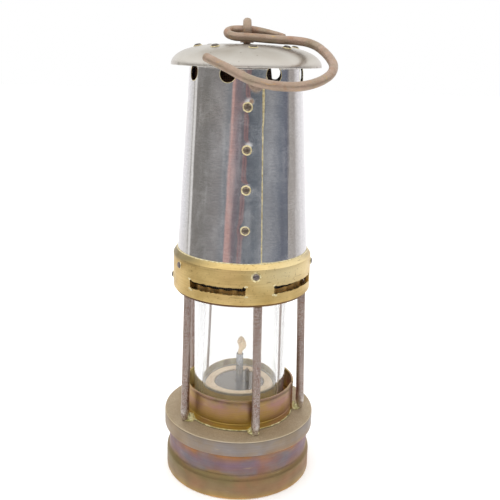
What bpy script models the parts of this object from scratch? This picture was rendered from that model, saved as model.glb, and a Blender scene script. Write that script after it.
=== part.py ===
"""Miner's flame safety lamp: fuel vessel, pillar frame, glass, gauzes, bonnet, dome and carrying hook.

Lengths are in metres, +Z is up, and the origin is the centre of the vessel's flat underside.
Angles around the lamp are measured from the front (-Y) towards the right (+X).
"""
import bmesh
import bpy
from math import atan2, cos, pi, radians, sin, sqrt
from mathutils import Matrix, Vector

# ---- driving dimensions -------------------------------------------------------------------------
GAP = 0.0003                 # clearance left between touching pieces
ROUND_STEPS = 28             # facets around a large turned piece
SMALL_STEPS = 8              # facets around a rivet, screw or tube

BAND_RADIUS = 0.0433         # lowest band of the fuel vessel
BAND_TOP = 0.0134
WAIST_RADIUS = 0.0418
SHOULDER_Z = 0.0278          # top of the vessel's waist
SPIGOT_RADIUS = 0.0330       # plain spigot that stands in for the vessel's thread
SPIGOT_TOP = 0.0344
NECK_RADIUS = 0.0196
NECK_TOP = 0.0500
VESSEL_WALL = 0.0013

FLANGE_RADIUS = 0.0445       # base ring of the frame
FLANGE_BOTTOM = 0.0281
FLANGE_TOP = 0.0372
CUP_RADIUS = 0.0317
CUP_TOP = 0.0556
GLASS_RADIUS = 0.0270
GLASS_WALL = 0.0054
GLASS_BOTTOM = 0.0458
GLASS_TOP = 0.1122

PILLAR_COUNT = 5
PILLAR_ANGLE = 15.5          # degrees, first pillar
PILLAR_RADIUS = 0.0023
PILLAR_FOOT_CIRCLE = 0.0372
PILLAR_TOP_CIRCLE = 0.0350
PILLAR_TOP_Z = 0.1134

RING_RADIUS = 0.0391         # vent ring above the glass
RING_BOTTOM = 0.1152
RING_CHAMFER_Z = 0.1346
RING_TOP = 0.1374
SLOT_COUNT = 4
SLOT_ANGLE = -21.0           # degrees, centre of the first air slot
SLOT_PITCH = 72.0
SLOT_HALF_WIDTH = 24.3       # degrees
SLOT_Z = 0.1228
SLOT_HEIGHT = 0.0040
RING_SCREW_ANGLE = 10.8
RING_SCREW_Z = 0.1310
LOCK_STUD_ANGLE = -86.0
LOCK_STUD_Z = 0.1205

BONNET_FOOT_Z = 0.1339
BONNET_FOOT_RADIUS = 0.0370
BONNET_TOP_RADIUS = 0.0299
BONNET_TOP_Z = 0.2430
BONNET_WALL = 0.0008
OUTLET_ANGLES = (-62.5, -17.5, 27.5, 72.5, 104.0, 148.0, -155.0, -110.0)  # hand-drilled, uneven
OUTLET_RADIUS = 0.00435
OUTLET_Z = 0.2337
SEAM_RIVET_ANGLE = 2.0
SEAM_RIVET_HEIGHTS = (0.2179, 0.1966, 0.1763, 0.1551)

DOME_RADIUS = 0.0403
DOME_RIM_Z = 0.2374
DOME_WALL = 0.0008
DOME_RISE = 0.0110           # from the rim to the crown
DOME_POWER = 3.05            # how square the dome's shoulder is: 2 would be an ellipse
DOME_RIVET_COUNT = 8
DOME_RIVET_ANGLE = 7.0
DOME_RIVET_CIRCLE = 0.0260

EYE_Z = 0.2555               # centre of the swivel eye, on the hook's hinge line
EYE_MAJOR = 0.0045
EYE_WIRE = 0.00195
EYE_WIDENING = 1.25          # the eye is forged wider along its hole than across it
HOOK_WIRE = 0.0022
HOOK_TILT = 20.0             # degrees below level, where the hook lies on the dome

WICK_TUBE_RADIUS = 0.0021
WICK_TUBE_TOP = 0.0715
PRICKER_OFFSET = 0.0046      # pricker tube, to the right of the wick tube
PRICKER_TUBE_RADIUS = 0.0013
PRICKER_TUBE_TOP = 0.0615
BURNER_TOP = 0.0542

# The hook's centre line in its own plane, from the closed tip, round the eye and out to the free
# end: distance to the right of the hinge's middle, and distance out from the hinge line.
HOOK_ROUTE = [
    (19.6, 9.0), (15.6, 6.0), (9.4, 2.6), (3.4, 0.2), (-0.6, -0.1), (-5.4, -0.1), (-8.8, 1.4),
    (-10.2, 4.6), (-9.0, 8.3), (-5.4, 10.8), (0.6, 11.2), (9.2, 12.7), (17.6, 14.0), (24.6, 14.7),
    (30.4, 16.9), (34.7, 21.4), (38.0, 29.0), (40.3, 38.0), (41.3, 47.5), (39.5, 57.0),
    (35.4, 64.6), (30.0, 70.2), (23.4, 73.6), (16.0, 73.9), (9.0, 72.0), (3.0, 68.2),
    (-2.6, 62.2), (-8.6, 54.2), (-14.6, 47.0), (-19.8, 40.4),
]
MILLIMETRE = 0.001


# ---- scene ----------------------------------------------------------------------------------------
for old in list(bpy.data.objects):
    bpy.data.objects.remove(old, do_unlink=True)

lamp = bpy.data.collections.new("miners_safety_lamp")
cutters = bpy.data.collections.new("cutters")
for collection in (lamp, cutters):
    bpy.context.scene.collection.children.link(collection)


def material(name, color, roughness, metallic, transmission=0.0):
    """A Principled material of one colour."""
    made = bpy.data.materials.new(name)
    made.use_nodes = True
    shader = made.node_tree.nodes["Principled BSDF"]
    shader.inputs["Base Color"].default_value = (*color, 1.0)
    shader.inputs["Roughness"].default_value = roughness
    shader.inputs["Metallic"].default_value = metallic
    shader.inputs["Transmission Weight"].default_value = transmission
    made.diffuse_color = (*color, 1.0)
    return made


AGED_BRASS = material("aged_brass", (0.20, 0.14, 0.08), 0.35, 1.0)
BRIGHT_BRASS = material("bright_brass", (0.58, 0.42, 0.20), 0.30, 1.0)
POLISHED_STEEL = material("polished_steel", (0.55, 0.54, 0.53), 0.12, 1.0)
SATIN_NICKEL = material("satin_nickel", (0.66, 0.62, 0.56), 0.28, 1.0)
RUSTY_STEEL = material("rusty_steel", (0.28, 0.20, 0.15), 0.55, 0.8)
GREY_METAL = material("grey_metal", (0.21, 0.21, 0.21), 0.40, 1.0)
CLEAR_GLASS = material("clear_glass", (0.95, 0.97, 0.97), 0.02, 0.0, transmission=1.0)
FIBRE = material("fibre", (0.45, 0.33, 0.22), 0.85, 0.0)
COTTON = material("cotton", (0.78, 0.60, 0.38), 0.95, 0.0)


# ---- helpers --------------------------------------------------------------------------------------
def around(angle, radius, height):
    """The point at an angle in degrees from the front, a radius and a height."""
    turn = radians(angle)
    return Vector((radius * sin(turn), -radius * cos(turn), height))


def pointing(place, direction):
    """The matrix that puts a piece at a place with its own Z axis along a direction."""
    return Matrix.Translation(place) @ direction.to_track_quat("Z", "Y").to_matrix().to_4x4()


def add(name, mesh, finish, collection=lamp):
    """A new object of a mesh, in the lamp's collection or in the cutters'."""
    made = bpy.data.objects.new(name, mesh)
    collection.objects.link(made)
    if finish is not None:
        mesh.materials.clear()
        mesh.materials.append(finish)
    if collection is cutters:
        made.hide_render = True
        made.display_type = "WIRE"
    return made


def spun(name, outline, finish, steps=ROUND_STEPS, collection=lamp):
    """A turned piece. The outline's (radius, height) points run down the outer side.

    An outline that starts and ends on the axis makes a solid; any other is closed into a ring.
    """
    mesh = bpy.data.meshes.new(name)
    edges = [(i, i + 1) for i in range(len(outline) - 1)]
    if outline[0][0] > 0.0:
        edges.append((len(outline) - 1, 0))
    mesh.from_pydata([(radius, 0.0, height) for radius, height in outline], edges, [])
    made = add(name, mesh, finish, collection)
    screw = made.modifiers.new("turn", "SCREW")
    screw.steps = steps
    screw.render_steps = steps
    screw.use_merge_vertices = True
    screw.merge_threshold = 0.00001
    return made


def ring(inner, outer, bottom, top):
    """The outline of a plain ring."""
    return [(outer, top), (outer, bottom), (inner, bottom), (inner, top)]


def disc(radius, bottom, top):
    """The outline of a plain solid disc or rod."""
    return [(0.0, top), (radius, top), (radius, bottom), (0.0, bottom)]


def boolean(target, tool, operation="DIFFERENCE"):
    """Cut a piece with a cutter, or join the cutter to it."""
    step = target.modifiers.new(tool.name, "BOOLEAN")
    step.operation = operation
    step.object = tool


def drill(name, targets, radius, length, matrix, steps=SMALL_STEPS):
    """A round hole through some pieces, centred on a matrix and along its Z axis."""
    tool = spun(name, disc(radius, -length / 2, length / 2), None, steps, cutters)
    tool.matrix_world = matrix
    for target in targets:
        boolean(target, tool)


def bake(made):
    """Replace a piece's modifiers by the mesh that they make."""
    depsgraph = bpy.context.evaluated_depsgraph_get()
    mesh = bpy.data.meshes.new_from_object(made.evaluated_get(depsgraph))
    mesh.name = made.name
    mesh.shade_smooth()
    mesh.set_sharp_from_angle(angle=radians(35))
    made.modifiers.clear()
    made.data = mesh
    return mesh


def fasteners(name, outline, finish, matrices, steps=SMALL_STEPS):
    """Identical turned fasteners that share one mesh, one at each matrix."""
    first = spun(f"{name}_1", outline, finish, steps)
    mesh = bake(first)
    made = [first] + [add(f"{name}_{i + 2}", mesh, finish) for i in range(len(matrices) - 1)]
    for piece, matrix in zip(made, matrices):
        piece.matrix_world = matrix
    return made


def wire(name, points, radius, finish, sides, thickness=None):
    """A round wire with capped ends through some points."""
    curve = bpy.data.curves.new(name, "CURVE")
    curve.dimensions = "3D"
    curve.bevel_depth = radius
    curve.bevel_resolution = sides
    curve.use_fill_caps = True
    curve.render_resolution_u = 0
    spline = curve.splines.new("POLY")
    spline.points.add(len(points) - 1)
    for i, point in enumerate(points):
        spline.points[i].co = (*point, 1.0)
        if thickness:
            spline.points[i].radius = thickness[i]
    return add(name, curve, finish)


def smooth_route(points, per_span):
    """Points on a smooth curve through some points (Catmull-Rom)."""
    padded = [2 * points[0] - points[1], *points, 2 * points[-1] - points[-2]]
    route = []
    for i in range(len(points) - 1):
        a, b, c, d = padded[i:i + 4]
        for k in range(per_span):
            t = k / per_span
            route.append(0.5 * (2 * b + (c - a) * t + (2 * a - 5 * b + 4 * c - d) * t * t
                                + (3 * b - a - 3 * c + d) * t * t * t))
    return route + [points[-1]]


def axis_marker(name, place):
    """An empty on a joint's axis, which the moving pieces are parented to."""
    marker = bpy.data.objects.new(name, None)
    marker.location = place
    lamp.objects.link(marker)
    return marker


def moves_with(marker, pieces):
    """Parent pieces to an empty without moving them."""
    bpy.context.view_layer.update()
    for piece in pieces:
        piece.parent = marker
        piece.matrix_parent_inverse = marker.matrix_world.inverted()


# ---- fuel vessel ----------------------------------------------------------------------------------
def build_vessel():
    """The brass oil vessel, its wadding, and the pocket for the pricker's knob."""
    floor = 0.0015
    inside_band = BAND_RADIUS - VESSEL_WALL
    inside_waist = WAIST_RADIUS - VESSEL_WALL
    inside_neck = NECK_RADIUS - VESSEL_WALL
    outline = [
        (NECK_RADIUS, NECK_TOP), (NECK_RADIUS, SPIGOT_TOP), (SPIGOT_RADIUS, SPIGOT_TOP),
        (SPIGOT_RADIUS, SHOULDER_Z), (WAIST_RADIUS - 0.0005, SHOULDER_Z),
        (WAIST_RADIUS, SHOULDER_Z - 0.0005), (WAIST_RADIUS, BAND_TOP + 0.0012),
        (WAIST_RADIUS + 0.0005, BAND_TOP), (BAND_RADIUS - 0.0003, BAND_TOP - 0.0004),
        (BAND_RADIUS, BAND_TOP - 0.0012), (BAND_RADIUS, 0.0010), (BAND_RADIUS - 0.0008, 0.0),
        (0.0, 0.0),
    ]
    inside = [
        (0.0, floor), (inside_band, floor), (inside_band, BAND_TOP - VESSEL_WALL),
        (inside_waist, BAND_TOP), (inside_waist, SHOULDER_Z - VESSEL_WALL),
        (SPIGOT_RADIUS - VESSEL_WALL, SHOULDER_Z - VESSEL_WALL),
        (SPIGOT_RADIUS - VESSEL_WALL, SPIGOT_TOP - VESSEL_WALL),
        (inside_neck, SPIGOT_TOP - VESSEL_WALL), (inside_neck, NECK_TOP),
    ]
    vessel = spun("fuel_vessel", outline + inside, AGED_BRASS)
    pocket_top = 0.0220
    pocket = spun("pocket_wall", disc(0.0048, 0.0005, pocket_top), None, 20, cutters)
    bore = spun("pocket_bore", disc(0.0036, -0.0010, pocket_top - 0.0015), None, 20, cutters)
    for tool in (pocket, bore):
        tool.matrix_world = Matrix.Translation((PRICKER_OFFSET, 0.0, 0.0))
    boolean(vessel, pocket, "UNION")
    boolean(vessel, bore)
    drill("pocket_rod_hole", [vessel], 0.0011, 0.0060,
          Matrix.Translation((PRICKER_OFFSET, 0.0, pocket_top)))
    wadding = spun("vessel_wadding", ring(0.0103, inside_waist - 0.0010, 0.0022, 0.0255), COTTON)
    return [vessel, wadding]


def build_burner():
    """The cap over the vessel's neck, its sealing ring and centre disc, and the two tubes."""
    cap_radius = 0.0209
    cap = spun("burner_cap", [
        (cap_radius - 0.0008, 0.0558), (cap_radius, 0.0556), (cap_radius, 0.0490),
        (NECK_RADIUS + GAP, 0.0490), (NECK_RADIUS + GAP, 0.0531), (0.0025, 0.0531),
        (0.0025, BURNER_TOP), (cap_radius - 0.0008, BURNER_TOP)], GREY_METAL)
    seal = spun("burner_sealing_ring", ring(0.0148, 0.0197, BURNER_TOP + GAP, 0.0554), FIBRE)
    centre = spun("burner_centre_disc", ring(0.0025, 0.0144, BURNER_TOP + GAP, 0.0549), GREY_METAL)
    wick_tube = spun("wick_tube", ring(WICK_TUBE_RADIUS - 0.0003, WICK_TUBE_RADIUS, 0.0360,
                                       WICK_TUBE_TOP), GREY_METAL, SMALL_STEPS)
    pricker_tube = spun("pricker_tube", ring(PRICKER_TUBE_RADIUS - 0.00035, PRICKER_TUBE_RADIUS,
                                             0.0223, PRICKER_TUBE_TOP), AGED_BRASS, SMALL_STEPS)
    pricker_tube.matrix_world = Matrix.Translation((PRICKER_OFFSET, 0.0, 0.0))
    drill("pricker_tube_hole", [cap, centre], PRICKER_TUBE_RADIUS + GAP, 0.0100,
          Matrix.Translation((PRICKER_OFFSET, 0.0, BURNER_TOP)))
    return [cap, seal, centre, wick_tube, pricker_tube]


def build_wick():
    """The cotton wick, straight in its tube and curled over above it."""
    in_vessel = [(-7.5, 6.0), (-7.5, 16.0), (-6.6, 20.0), (-4.4, 24.0), (-1.6, 27.4), (-0.2, 30.4)]
    in_tube = [(0.0, 34.0), (0.0, 56.0), (0.0, 70.0)]
    curled = [(0.1, 72.6), (1.1, 75.0), (1.4, 77.0), (0.6, 79.0), (-0.9, 80.0)]
    route = in_vessel + in_tube + curled
    points = [Vector((side, 0.0, height)) * MILLIMETRE for side, height in route]
    thickness = [1.0] * len(in_vessel + in_tube) + [1.0, 1.35, 1.5, 1.5, 1.2]
    return wire("wick", points, 0.00140, COTTON, 2, thickness)


def build_pricker():
    """The packing gland, and the rod with its bent tip and the knob under the vessel."""
    at_pocket = Matrix.Translation((PRICKER_OFFSET, 0.0, 0.0))
    gland = spun("pricker_gland", ring(0.0009, 0.0028, 0.0187, 0.0202), BRIGHT_BRASS, SMALL_STEPS)
    gland.matrix_world = at_pocket
    tip_z = 0.0622
    route = [(0.0, 0.0, 0.0032), (0.0, 0.0, 0.0350), (0.0, 0.0, tip_z),
             (0.0, -0.0004, tip_z + 0.0005), (0.0, -0.0010, tip_z + 0.0005)]
    points = [at_pocket @ Vector(point) for point in route]
    rod = wire("pricker_rod", points, 0.00050, RUSTY_STEEL, 1)
    knob = spun("pricker_knob", ring(0.0008, 0.0028, 0.0012, 0.0046), BRIGHT_BRASS, 16)
    knob.matrix_world = at_pocket
    return gland, rod, knob


# ---- frame ----------------------------------------------------------------------------------------
def build_base():
    """The base ring that screws onto the vessel, and the cup and seat that hold the glass."""
    lip_bottom = SPIGOT_TOP + GAP + 0.0002
    spigot_bore = SPIGOT_RADIUS + 0.0004
    base = spun("frame_base_ring", [
        (0.0240, FLANGE_TOP), (FLANGE_RADIUS - 0.0011, FLANGE_TOP),
        (FLANGE_RADIUS - 0.0003, FLANGE_TOP - 0.0004), (FLANGE_RADIUS, FLANGE_TOP - 0.0012),
        (FLANGE_RADIUS, FLANGE_BOTTOM + 0.0010), (FLANGE_RADIUS - 0.0008, FLANGE_BOTTOM),
        (0.0413, FLANGE_BOTTOM), (0.0413, FLANGE_BOTTOM + 0.0008),
        (spigot_bore, FLANGE_BOTTOM + 0.0008), (spigot_bore, lip_bottom), (0.0240, lip_bottom)],
        AGED_BRASS)
    foot = FLANGE_TOP + GAP
    cup = spun("glass_cup", [
        (CUP_RADIUS - 0.0009, CUP_TOP), (CUP_RADIUS, CUP_TOP), (CUP_RADIUS, foot), (0.0250, foot),
        (0.0250, foot + 0.0012), (CUP_RADIUS - 0.0009, foot + 0.0012)], AGED_BRASS)
    slit_angle = 80.0
    bpy.ops.mesh.primitive_cube_add(size=1.0)
    slit = bpy.context.object
    slit.name = "cup_slit"
    slit.data.transform(Matrix.Diagonal((0.0008, 0.0060, 0.0200, 1.0)))
    slit.matrix_world = (Matrix.Translation(around(slit_angle, CUP_RADIUS, CUP_TOP - 0.0040))
                         @ Matrix.Rotation(radians(slit_angle), 4, "Z"))
    slit.hide_render = True
    slit.display_type = "WIRE"
    for holder in list(slit.users_collection):
        holder.objects.unlink(slit)
    cutters.objects.link(slit)
    boolean(cup, slit)
    seat_top = GLASS_BOTTOM - 0.0015
    seat = spun("glass_seat_ring", ring(0.0213, CUP_RADIUS - 0.0009 - GAP, foot + 0.0015, seat_top),
                BRIGHT_BRASS)
    gasket = ring(0.0218, GLASS_RADIUS + 0.0003, seat_top + GAP, GLASS_BOTTOM - GAP)
    lower_gasket = spun("lower_glass_gasket", gasket, FIBRE)
    return [base, cup, seat, lower_gasket]


def build_pillars():
    """The five steel pillars, which lean in towards the top and are spread at the foot."""
    matrices = []
    for i in range(PILLAR_COUNT):
        angle = PILLAR_ANGLE + i * 360.0 / PILLAR_COUNT
        foot = around(angle, PILLAR_FOOT_CIRCLE, FLANGE_TOP + GAP + 0.0001)
        top = around(angle, PILLAR_TOP_CIRCLE, PILLAR_TOP_Z)
        matrices.append(pointing(foot, top - foot))
    length = (top - foot).length
    outline = [(0.0, length), (PILLAR_RADIUS, length), (PILLAR_RADIUS, 0.0120),
               (PILLAR_RADIUS + 0.0003, 0.0050), (PILLAR_RADIUS + 0.0001, 0.0), (0.0, 0.0)]
    return fasteners("pillar", outline, RUSTY_STEEL, matrices, 12)


def build_glass():
    """The glass cylinder, its upper gasket and the plate that carries the pillars' tops."""
    inner = GLASS_RADIUS - GLASS_WALL
    glass = spun("glass_cylinder", ring(inner, GLASS_RADIUS, GLASS_BOTTOM, GLASS_TOP), CLEAR_GLASS)
    gasket = spun("upper_glass_gasket", ring(inner, GLASS_RADIUS + GAP, GLASS_TOP + GAP,
                                             PILLAR_TOP_Z), FIBRE)
    plate = spun("upper_plate", ring(inner, 0.0381, PILLAR_TOP_Z + 0.0004, RING_BOTTOM - GAP),
                 AGED_BRASS)
    return [glass, gasket, plate]


def slot_cutter(index):
    """A wedge-shaped cutter for one air slot of the vent ring."""
    centre = SLOT_ANGLE + index * SLOT_PITCH
    reach = 0.0450
    sides = 8
    angles = [centre - SLOT_HALF_WIDTH + k * 2 * SLOT_HALF_WIDTH / sides for k in range(sides + 1)]
    inner = [around(angle, 0.0360, 0.0) for angle in reversed(angles)]
    outer = [around(angle, reach, 0.0) for angle in angles]
    outline = outer + inner
    curve = bpy.data.curves.new(f"slot_{index + 1}", "CURVE")
    curve.dimensions = "2D"
    curve.fill_mode = "BOTH"
    curve.extrude = SLOT_HEIGHT / 2
    curve.render_resolution_u = 0
    spline = curve.splines.new("POLY")
    spline.points.add(len(outline) - 1)
    for i, point in enumerate(outline):
        spline.points[i].co = (point.x, point.y, 0.0, 1.0)
    spline.use_cyclic_u = True
    return solid_from_curve(curve, f"slot_cutter_{index + 1}", (0.0, 0.0, SLOT_Z))


def solid_from_curve(curve, name, place):
    """A closed cutter mesh made from a filled curve, with its caps welded."""
    source = bpy.data.objects.new(name, curve)
    cutters.objects.link(source)
    source.location = place
    bpy.context.view_layer.update()
    depsgraph = bpy.context.evaluated_depsgraph_get()
    mesh = bpy.data.meshes.new_from_object(source.evaluated_get(depsgraph))
    welded = bmesh.new()
    welded.from_mesh(mesh)
    bmesh.ops.remove_doubles(welded, verts=welded.verts, dist=0.000001)
    bmesh.ops.recalc_face_normals(welded, faces=welded.faces)
    welded.to_mesh(mesh)
    welded.free()
    made = add(name + "_solid", mesh, None, cutters)
    made.matrix_world = source.matrix_world.copy()
    bpy.data.objects.remove(source)
    return made


def build_vent_ring():
    """The brass ring with its air slots, the scalloped baffle behind them, and the collar."""
    vent_ring = spun("vent_ring", [
        (0.03725, RING_TOP), (RING_RADIUS, RING_CHAMFER_Z), (RING_RADIUS, RING_BOTTOM),
        (0.0376, RING_BOTTOM), (0.0376, RING_CHAMFER_Z - 0.0006), (0.03725, RING_CHAMFER_Z)],
        BRIGHT_BRASS)
    for i in range(SLOT_COUNT):
        boolean(vent_ring, slot_cutter(i))
    baffle = build_baffle()
    collar = spun("gauze_collar", [
        (0.0330, 0.1336), (0.0372, 0.1336), (0.0372, 0.1283), (0.0190, 0.1283), (0.0190, 0.1295),
        (0.0330, 0.1295)], BRIGHT_BRASS)
    matrices = []
    for i in range(PILLAR_COUNT):
        angle = RING_SCREW_ANGLE + i * 360.0 / PILLAR_COUNT
        matrices.append(pointing(around(angle, RING_RADIUS, RING_SCREW_Z), around(angle, 1.0, 0.0)))
    for i, matrix in enumerate(matrices):
        drill(f"ring_screw_hole_{i + 1}", [vent_ring, collar], 0.0012, 0.0076, matrix)
    head = [(0.0, 0.0013), (0.0012, 0.0012), (0.0020, 0.0008), (0.0020, GAP), (0.0009, GAP),
            (0.0009, -0.0034), (0.0, -0.0034)]
    screws = fasteners("ring_screw", head, RUSTY_STEEL, matrices)
    stud_matrix = pointing(around(LOCK_STUD_ANGLE, RING_RADIUS, LOCK_STUD_Z),
                           around(LOCK_STUD_ANGLE, 1.0, 0.0))
    drill("lock_stud_hole", [vent_ring], 0.0012, 0.0076, stud_matrix)
    stud_outline = [(0.0, 0.0012), (0.0014, 0.0010), (0.0020, 0.0006), (0.0020, GAP),
                    (0.0009, GAP), (0.0009, -0.0020), (0.0, -0.0020)]
    stud = spun("lock_stud", stud_outline, RUSTY_STEEL, SMALL_STEPS)
    stud.matrix_world = stud_matrix
    return [vent_ring, baffle, collar, stud] + screws


def build_baffle():
    """The scalloped strip behind the air slots: a wavy outline drawn up into a wall."""
    folds = 30
    points_per_fold = 3
    count = folds * points_per_fold
    middle, depth = 0.0345, 0.0007
    curve = bpy.data.curves.new("air_baffle", "CURVE")
    curve.dimensions = "2D"
    curve.fill_mode = "NONE"
    curve.extrude = 0.0029
    curve.render_resolution_u = 0
    spline = curve.splines.new("POLY")
    spline.points.add(count - 1)
    for i in range(count):
        turn = 2 * pi * i / count
        radius = middle + depth * cos(folds * turn)
        spline.points[i].co = (radius * cos(turn), radius * sin(turn), 0.0, 1.0)
    spline.use_cyclic_u = True
    baffle = add("air_baffle", curve, BRIGHT_BRASS)
    baffle.location = (0.0, 0.0, 0.1194)
    thicken = baffle.modifiers.new("thickness", "SOLIDIFY")
    thicken.thickness = 0.0005
    thicken.offset = 0.0
    return baffle


# ---- gauzes, bonnet and dome ----------------------------------------------------------------------
def build_gauzes():
    """The inner and outer flame gauzes, closed at the top and open below."""
    wall = 0.0006
    made = []
    for name, foot, crown, top in (("inner_gauze", 0.0218, 0.0172, 0.2220),
                                   ("outer_gauze", 0.0245, 0.0200, 0.2300)):
        bottom = 0.1298
        outline = [(0.0, top), (crown, top), (foot, bottom), (foot - wall, bottom),
                   (crown - wall, top - wall), (0.0, top - wall)]
        made.append(spun(name, outline, GREY_METAL))
    return made


def bonnet_radius(height):
    """Outer radius of the tapered bonnet at a height."""
    share = (height - BONNET_FOOT_Z) / (BONNET_TOP_Z - BONNET_FOOT_Z)
    return BONNET_FOOT_RADIUS + share * (BONNET_TOP_RADIUS - BONNET_FOOT_RADIUS)


def build_bonnet():
    """The tapered steel bonnet with its outlet holes and the rivets of its lap seam."""
    flange_inner = 0.0235
    flange_top = 0.2448
    bonnet = spun("bonnet", [
        (flange_inner, flange_top), (BONNET_TOP_RADIUS - 0.0016, flange_top),
        (BONNET_TOP_RADIUS - 0.0003, flange_top - 0.0008), (BONNET_TOP_RADIUS, BONNET_TOP_Z),
        (BONNET_FOOT_RADIUS, BONNET_FOOT_Z), (BONNET_FOOT_RADIUS - BONNET_WALL, BONNET_FOOT_Z),
        (BONNET_TOP_RADIUS - BONNET_WALL, BONNET_TOP_Z),
        (BONNET_TOP_RADIUS - 0.0018, flange_top - BONNET_WALL), (flange_inner, flange_top - BONNET_WALL)],
        POLISHED_STEEL)
    for i, angle in enumerate(OUTLET_ANGLES):
        centre = around(angle, bonnet_radius(OUTLET_Z), OUTLET_Z)
        drill(f"outlet_{i + 1}", [bonnet], OUTLET_RADIUS, 0.0060,
              pointing(centre, around(angle, 1.0, 0.0)), 20)
    lean = atan2(BONNET_FOOT_RADIUS - BONNET_TOP_RADIUS, BONNET_TOP_Z - BONNET_FOOT_Z)
    outward = around(SEAM_RIVET_ANGLE, cos(lean), sin(lean))
    matrices = [pointing(around(SEAM_RIVET_ANGLE, bonnet_radius(height), height), outward)
                for height in SEAM_RIVET_HEIGHTS]
    for i, matrix in enumerate(matrices):
        drill(f"seam_rivet_hole_{i + 1}", [bonnet], 0.0013, 0.0050, matrix)
    rivet = [(0.0, 0.0012), (0.0012, 0.0011), (0.0021, 0.0006), (0.0022, GAP), (0.0010, GAP),
             (0.0010, -0.0014), (0.0, -0.0014)]
    return bonnet, fasteners("seam_rivet", rivet, BRIGHT_BRASS, matrices)


def dome_height(radius):
    """Height of the dome's outer surface at a radius: a flat crown and a full, round shoulder."""
    return DOME_RIM_Z + DOME_RISE * sqrt(1.0 - (radius / DOME_RADIUS) ** DOME_POWER)


def dome_normal(radius):
    """The outward direction of the dome's surface at a radius, as (outwards, up)."""
    outwards = DOME_POWER * (radius / DOME_RADIUS) ** (DOME_POWER - 1.0) / DOME_RADIUS
    up = 2.0 * (dome_height(radius) - DOME_RIM_Z) / DOME_RISE ** 2
    return Vector((outwards, up)).normalized()


def build_dome(bonnet):
    """The dome and the eight rivets that hold it to the bonnet's turned-in flange."""
    hole = 0.0024
    radii = [hole] + [DOME_RADIUS * sin(radians(turn)) ** (2.0 / DOME_POWER)
                      for turn in (22, 33, 43, 52, 60, 68, 76, 83, 90)]
    outer = [Vector((radius, dome_height(radius))) for radius in radii]
    inner = [point - DOME_WALL * dome_normal(radius) for radius, point in zip(radii, outer)]
    inner[0].x = hole
    dome = spun("dome", outer + inner[::-1], SATIN_NICKEL)
    matrices = []
    lean = dome_normal(DOME_RIVET_CIRCLE)
    for i in range(DOME_RIVET_COUNT):
        angle = DOME_RIVET_ANGLE + i * 360.0 / DOME_RIVET_COUNT
        place = around(angle, DOME_RIVET_CIRCLE, dome_height(DOME_RIVET_CIRCLE))
        matrices.append(pointing(place, around(angle, lean.x, lean.y)))
    for i, matrix in enumerate(matrices):
        drill(f"dome_rivet_hole_{i + 1}", [dome, bonnet], 0.0013, 0.0090, matrix)
    rivet = [(0.0, 0.0008), (0.0011, 0.0007), (0.0019, 0.0005), (0.0020, GAP), (0.0010, GAP),
             (0.0010, -0.0042), (0.0, -0.0042)]
    return [dome] + fasteners("dome_rivet", rivet, BRIGHT_BRASS, matrices)


# ---- swivel eye and hook --------------------------------------------------------------------------
def build_swivel():
    """The eye that turns in the dome's crown, and the nut that holds it from below."""
    bpy.ops.mesh.primitive_torus_add(major_radius=EYE_MAJOR, minor_radius=EYE_WIRE,
                                     major_segments=20, minor_segments=8)
    eye = bpy.context.object
    eye.name = "hook_eye"
    flattened = Matrix.Diagonal((1.0, 1.0, EYE_WIDENING, 1.0))
    upright = Matrix.Rotation(pi / 2, 4, "Y")
    eye.data.transform(Matrix.Translation((0.0, 0.0, EYE_Z)) @ upright @ flattened)
    eye.data.materials.append(RUSTY_STEEL)
    for holder in list(eye.users_collection):
        holder.objects.unlink(eye)
    lamp.objects.link(eye)
    shank = spun("eye_shank", [
        (0.0, EYE_Z - EYE_MAJOR + 0.0012), (0.0028, EYE_Z - EYE_MAJOR + 0.0004), (0.0032, 0.2494),
        (0.0019, 0.2494), (0.0019, 0.2440), (0.0, 0.2440)], None, 16, cutters)
    boolean(eye, shank, "UNION")
    below = spun("eye_underside", ring(0.0020, 0.0200, 0.2450, 0.2492), None, 16, cutters)
    boolean(eye, below)
    nut = spun("swivel_nut", ring(0.0023, 0.0046, 0.2452, 0.2472), RUSTY_STEEL, 6)
    return [eye, nut]


def build_hook():
    """The wire hook: a closed eye through the swivel, a shank, and a wide open ring."""
    tilt = radians(HOOK_TILT)
    outward = Vector((0.0, -cos(tilt), -sin(tilt)))
    hinge = Vector((0.0, 0.0, EYE_Z))
    right = Vector((1.0, 0.0, 0.0))
    points = [hinge + right * (side * MILLIMETRE) + outward * (reach * MILLIMETRE)
              for side, reach in HOOK_ROUTE]
    route = smooth_route(points, 2)
    thickness = [min(0.60 + 0.12 * i, 1.0) for i in range(len(route))]
    return wire("hook", route, HOOK_WIRE, RUSTY_STEEL, 2, thickness)


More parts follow.
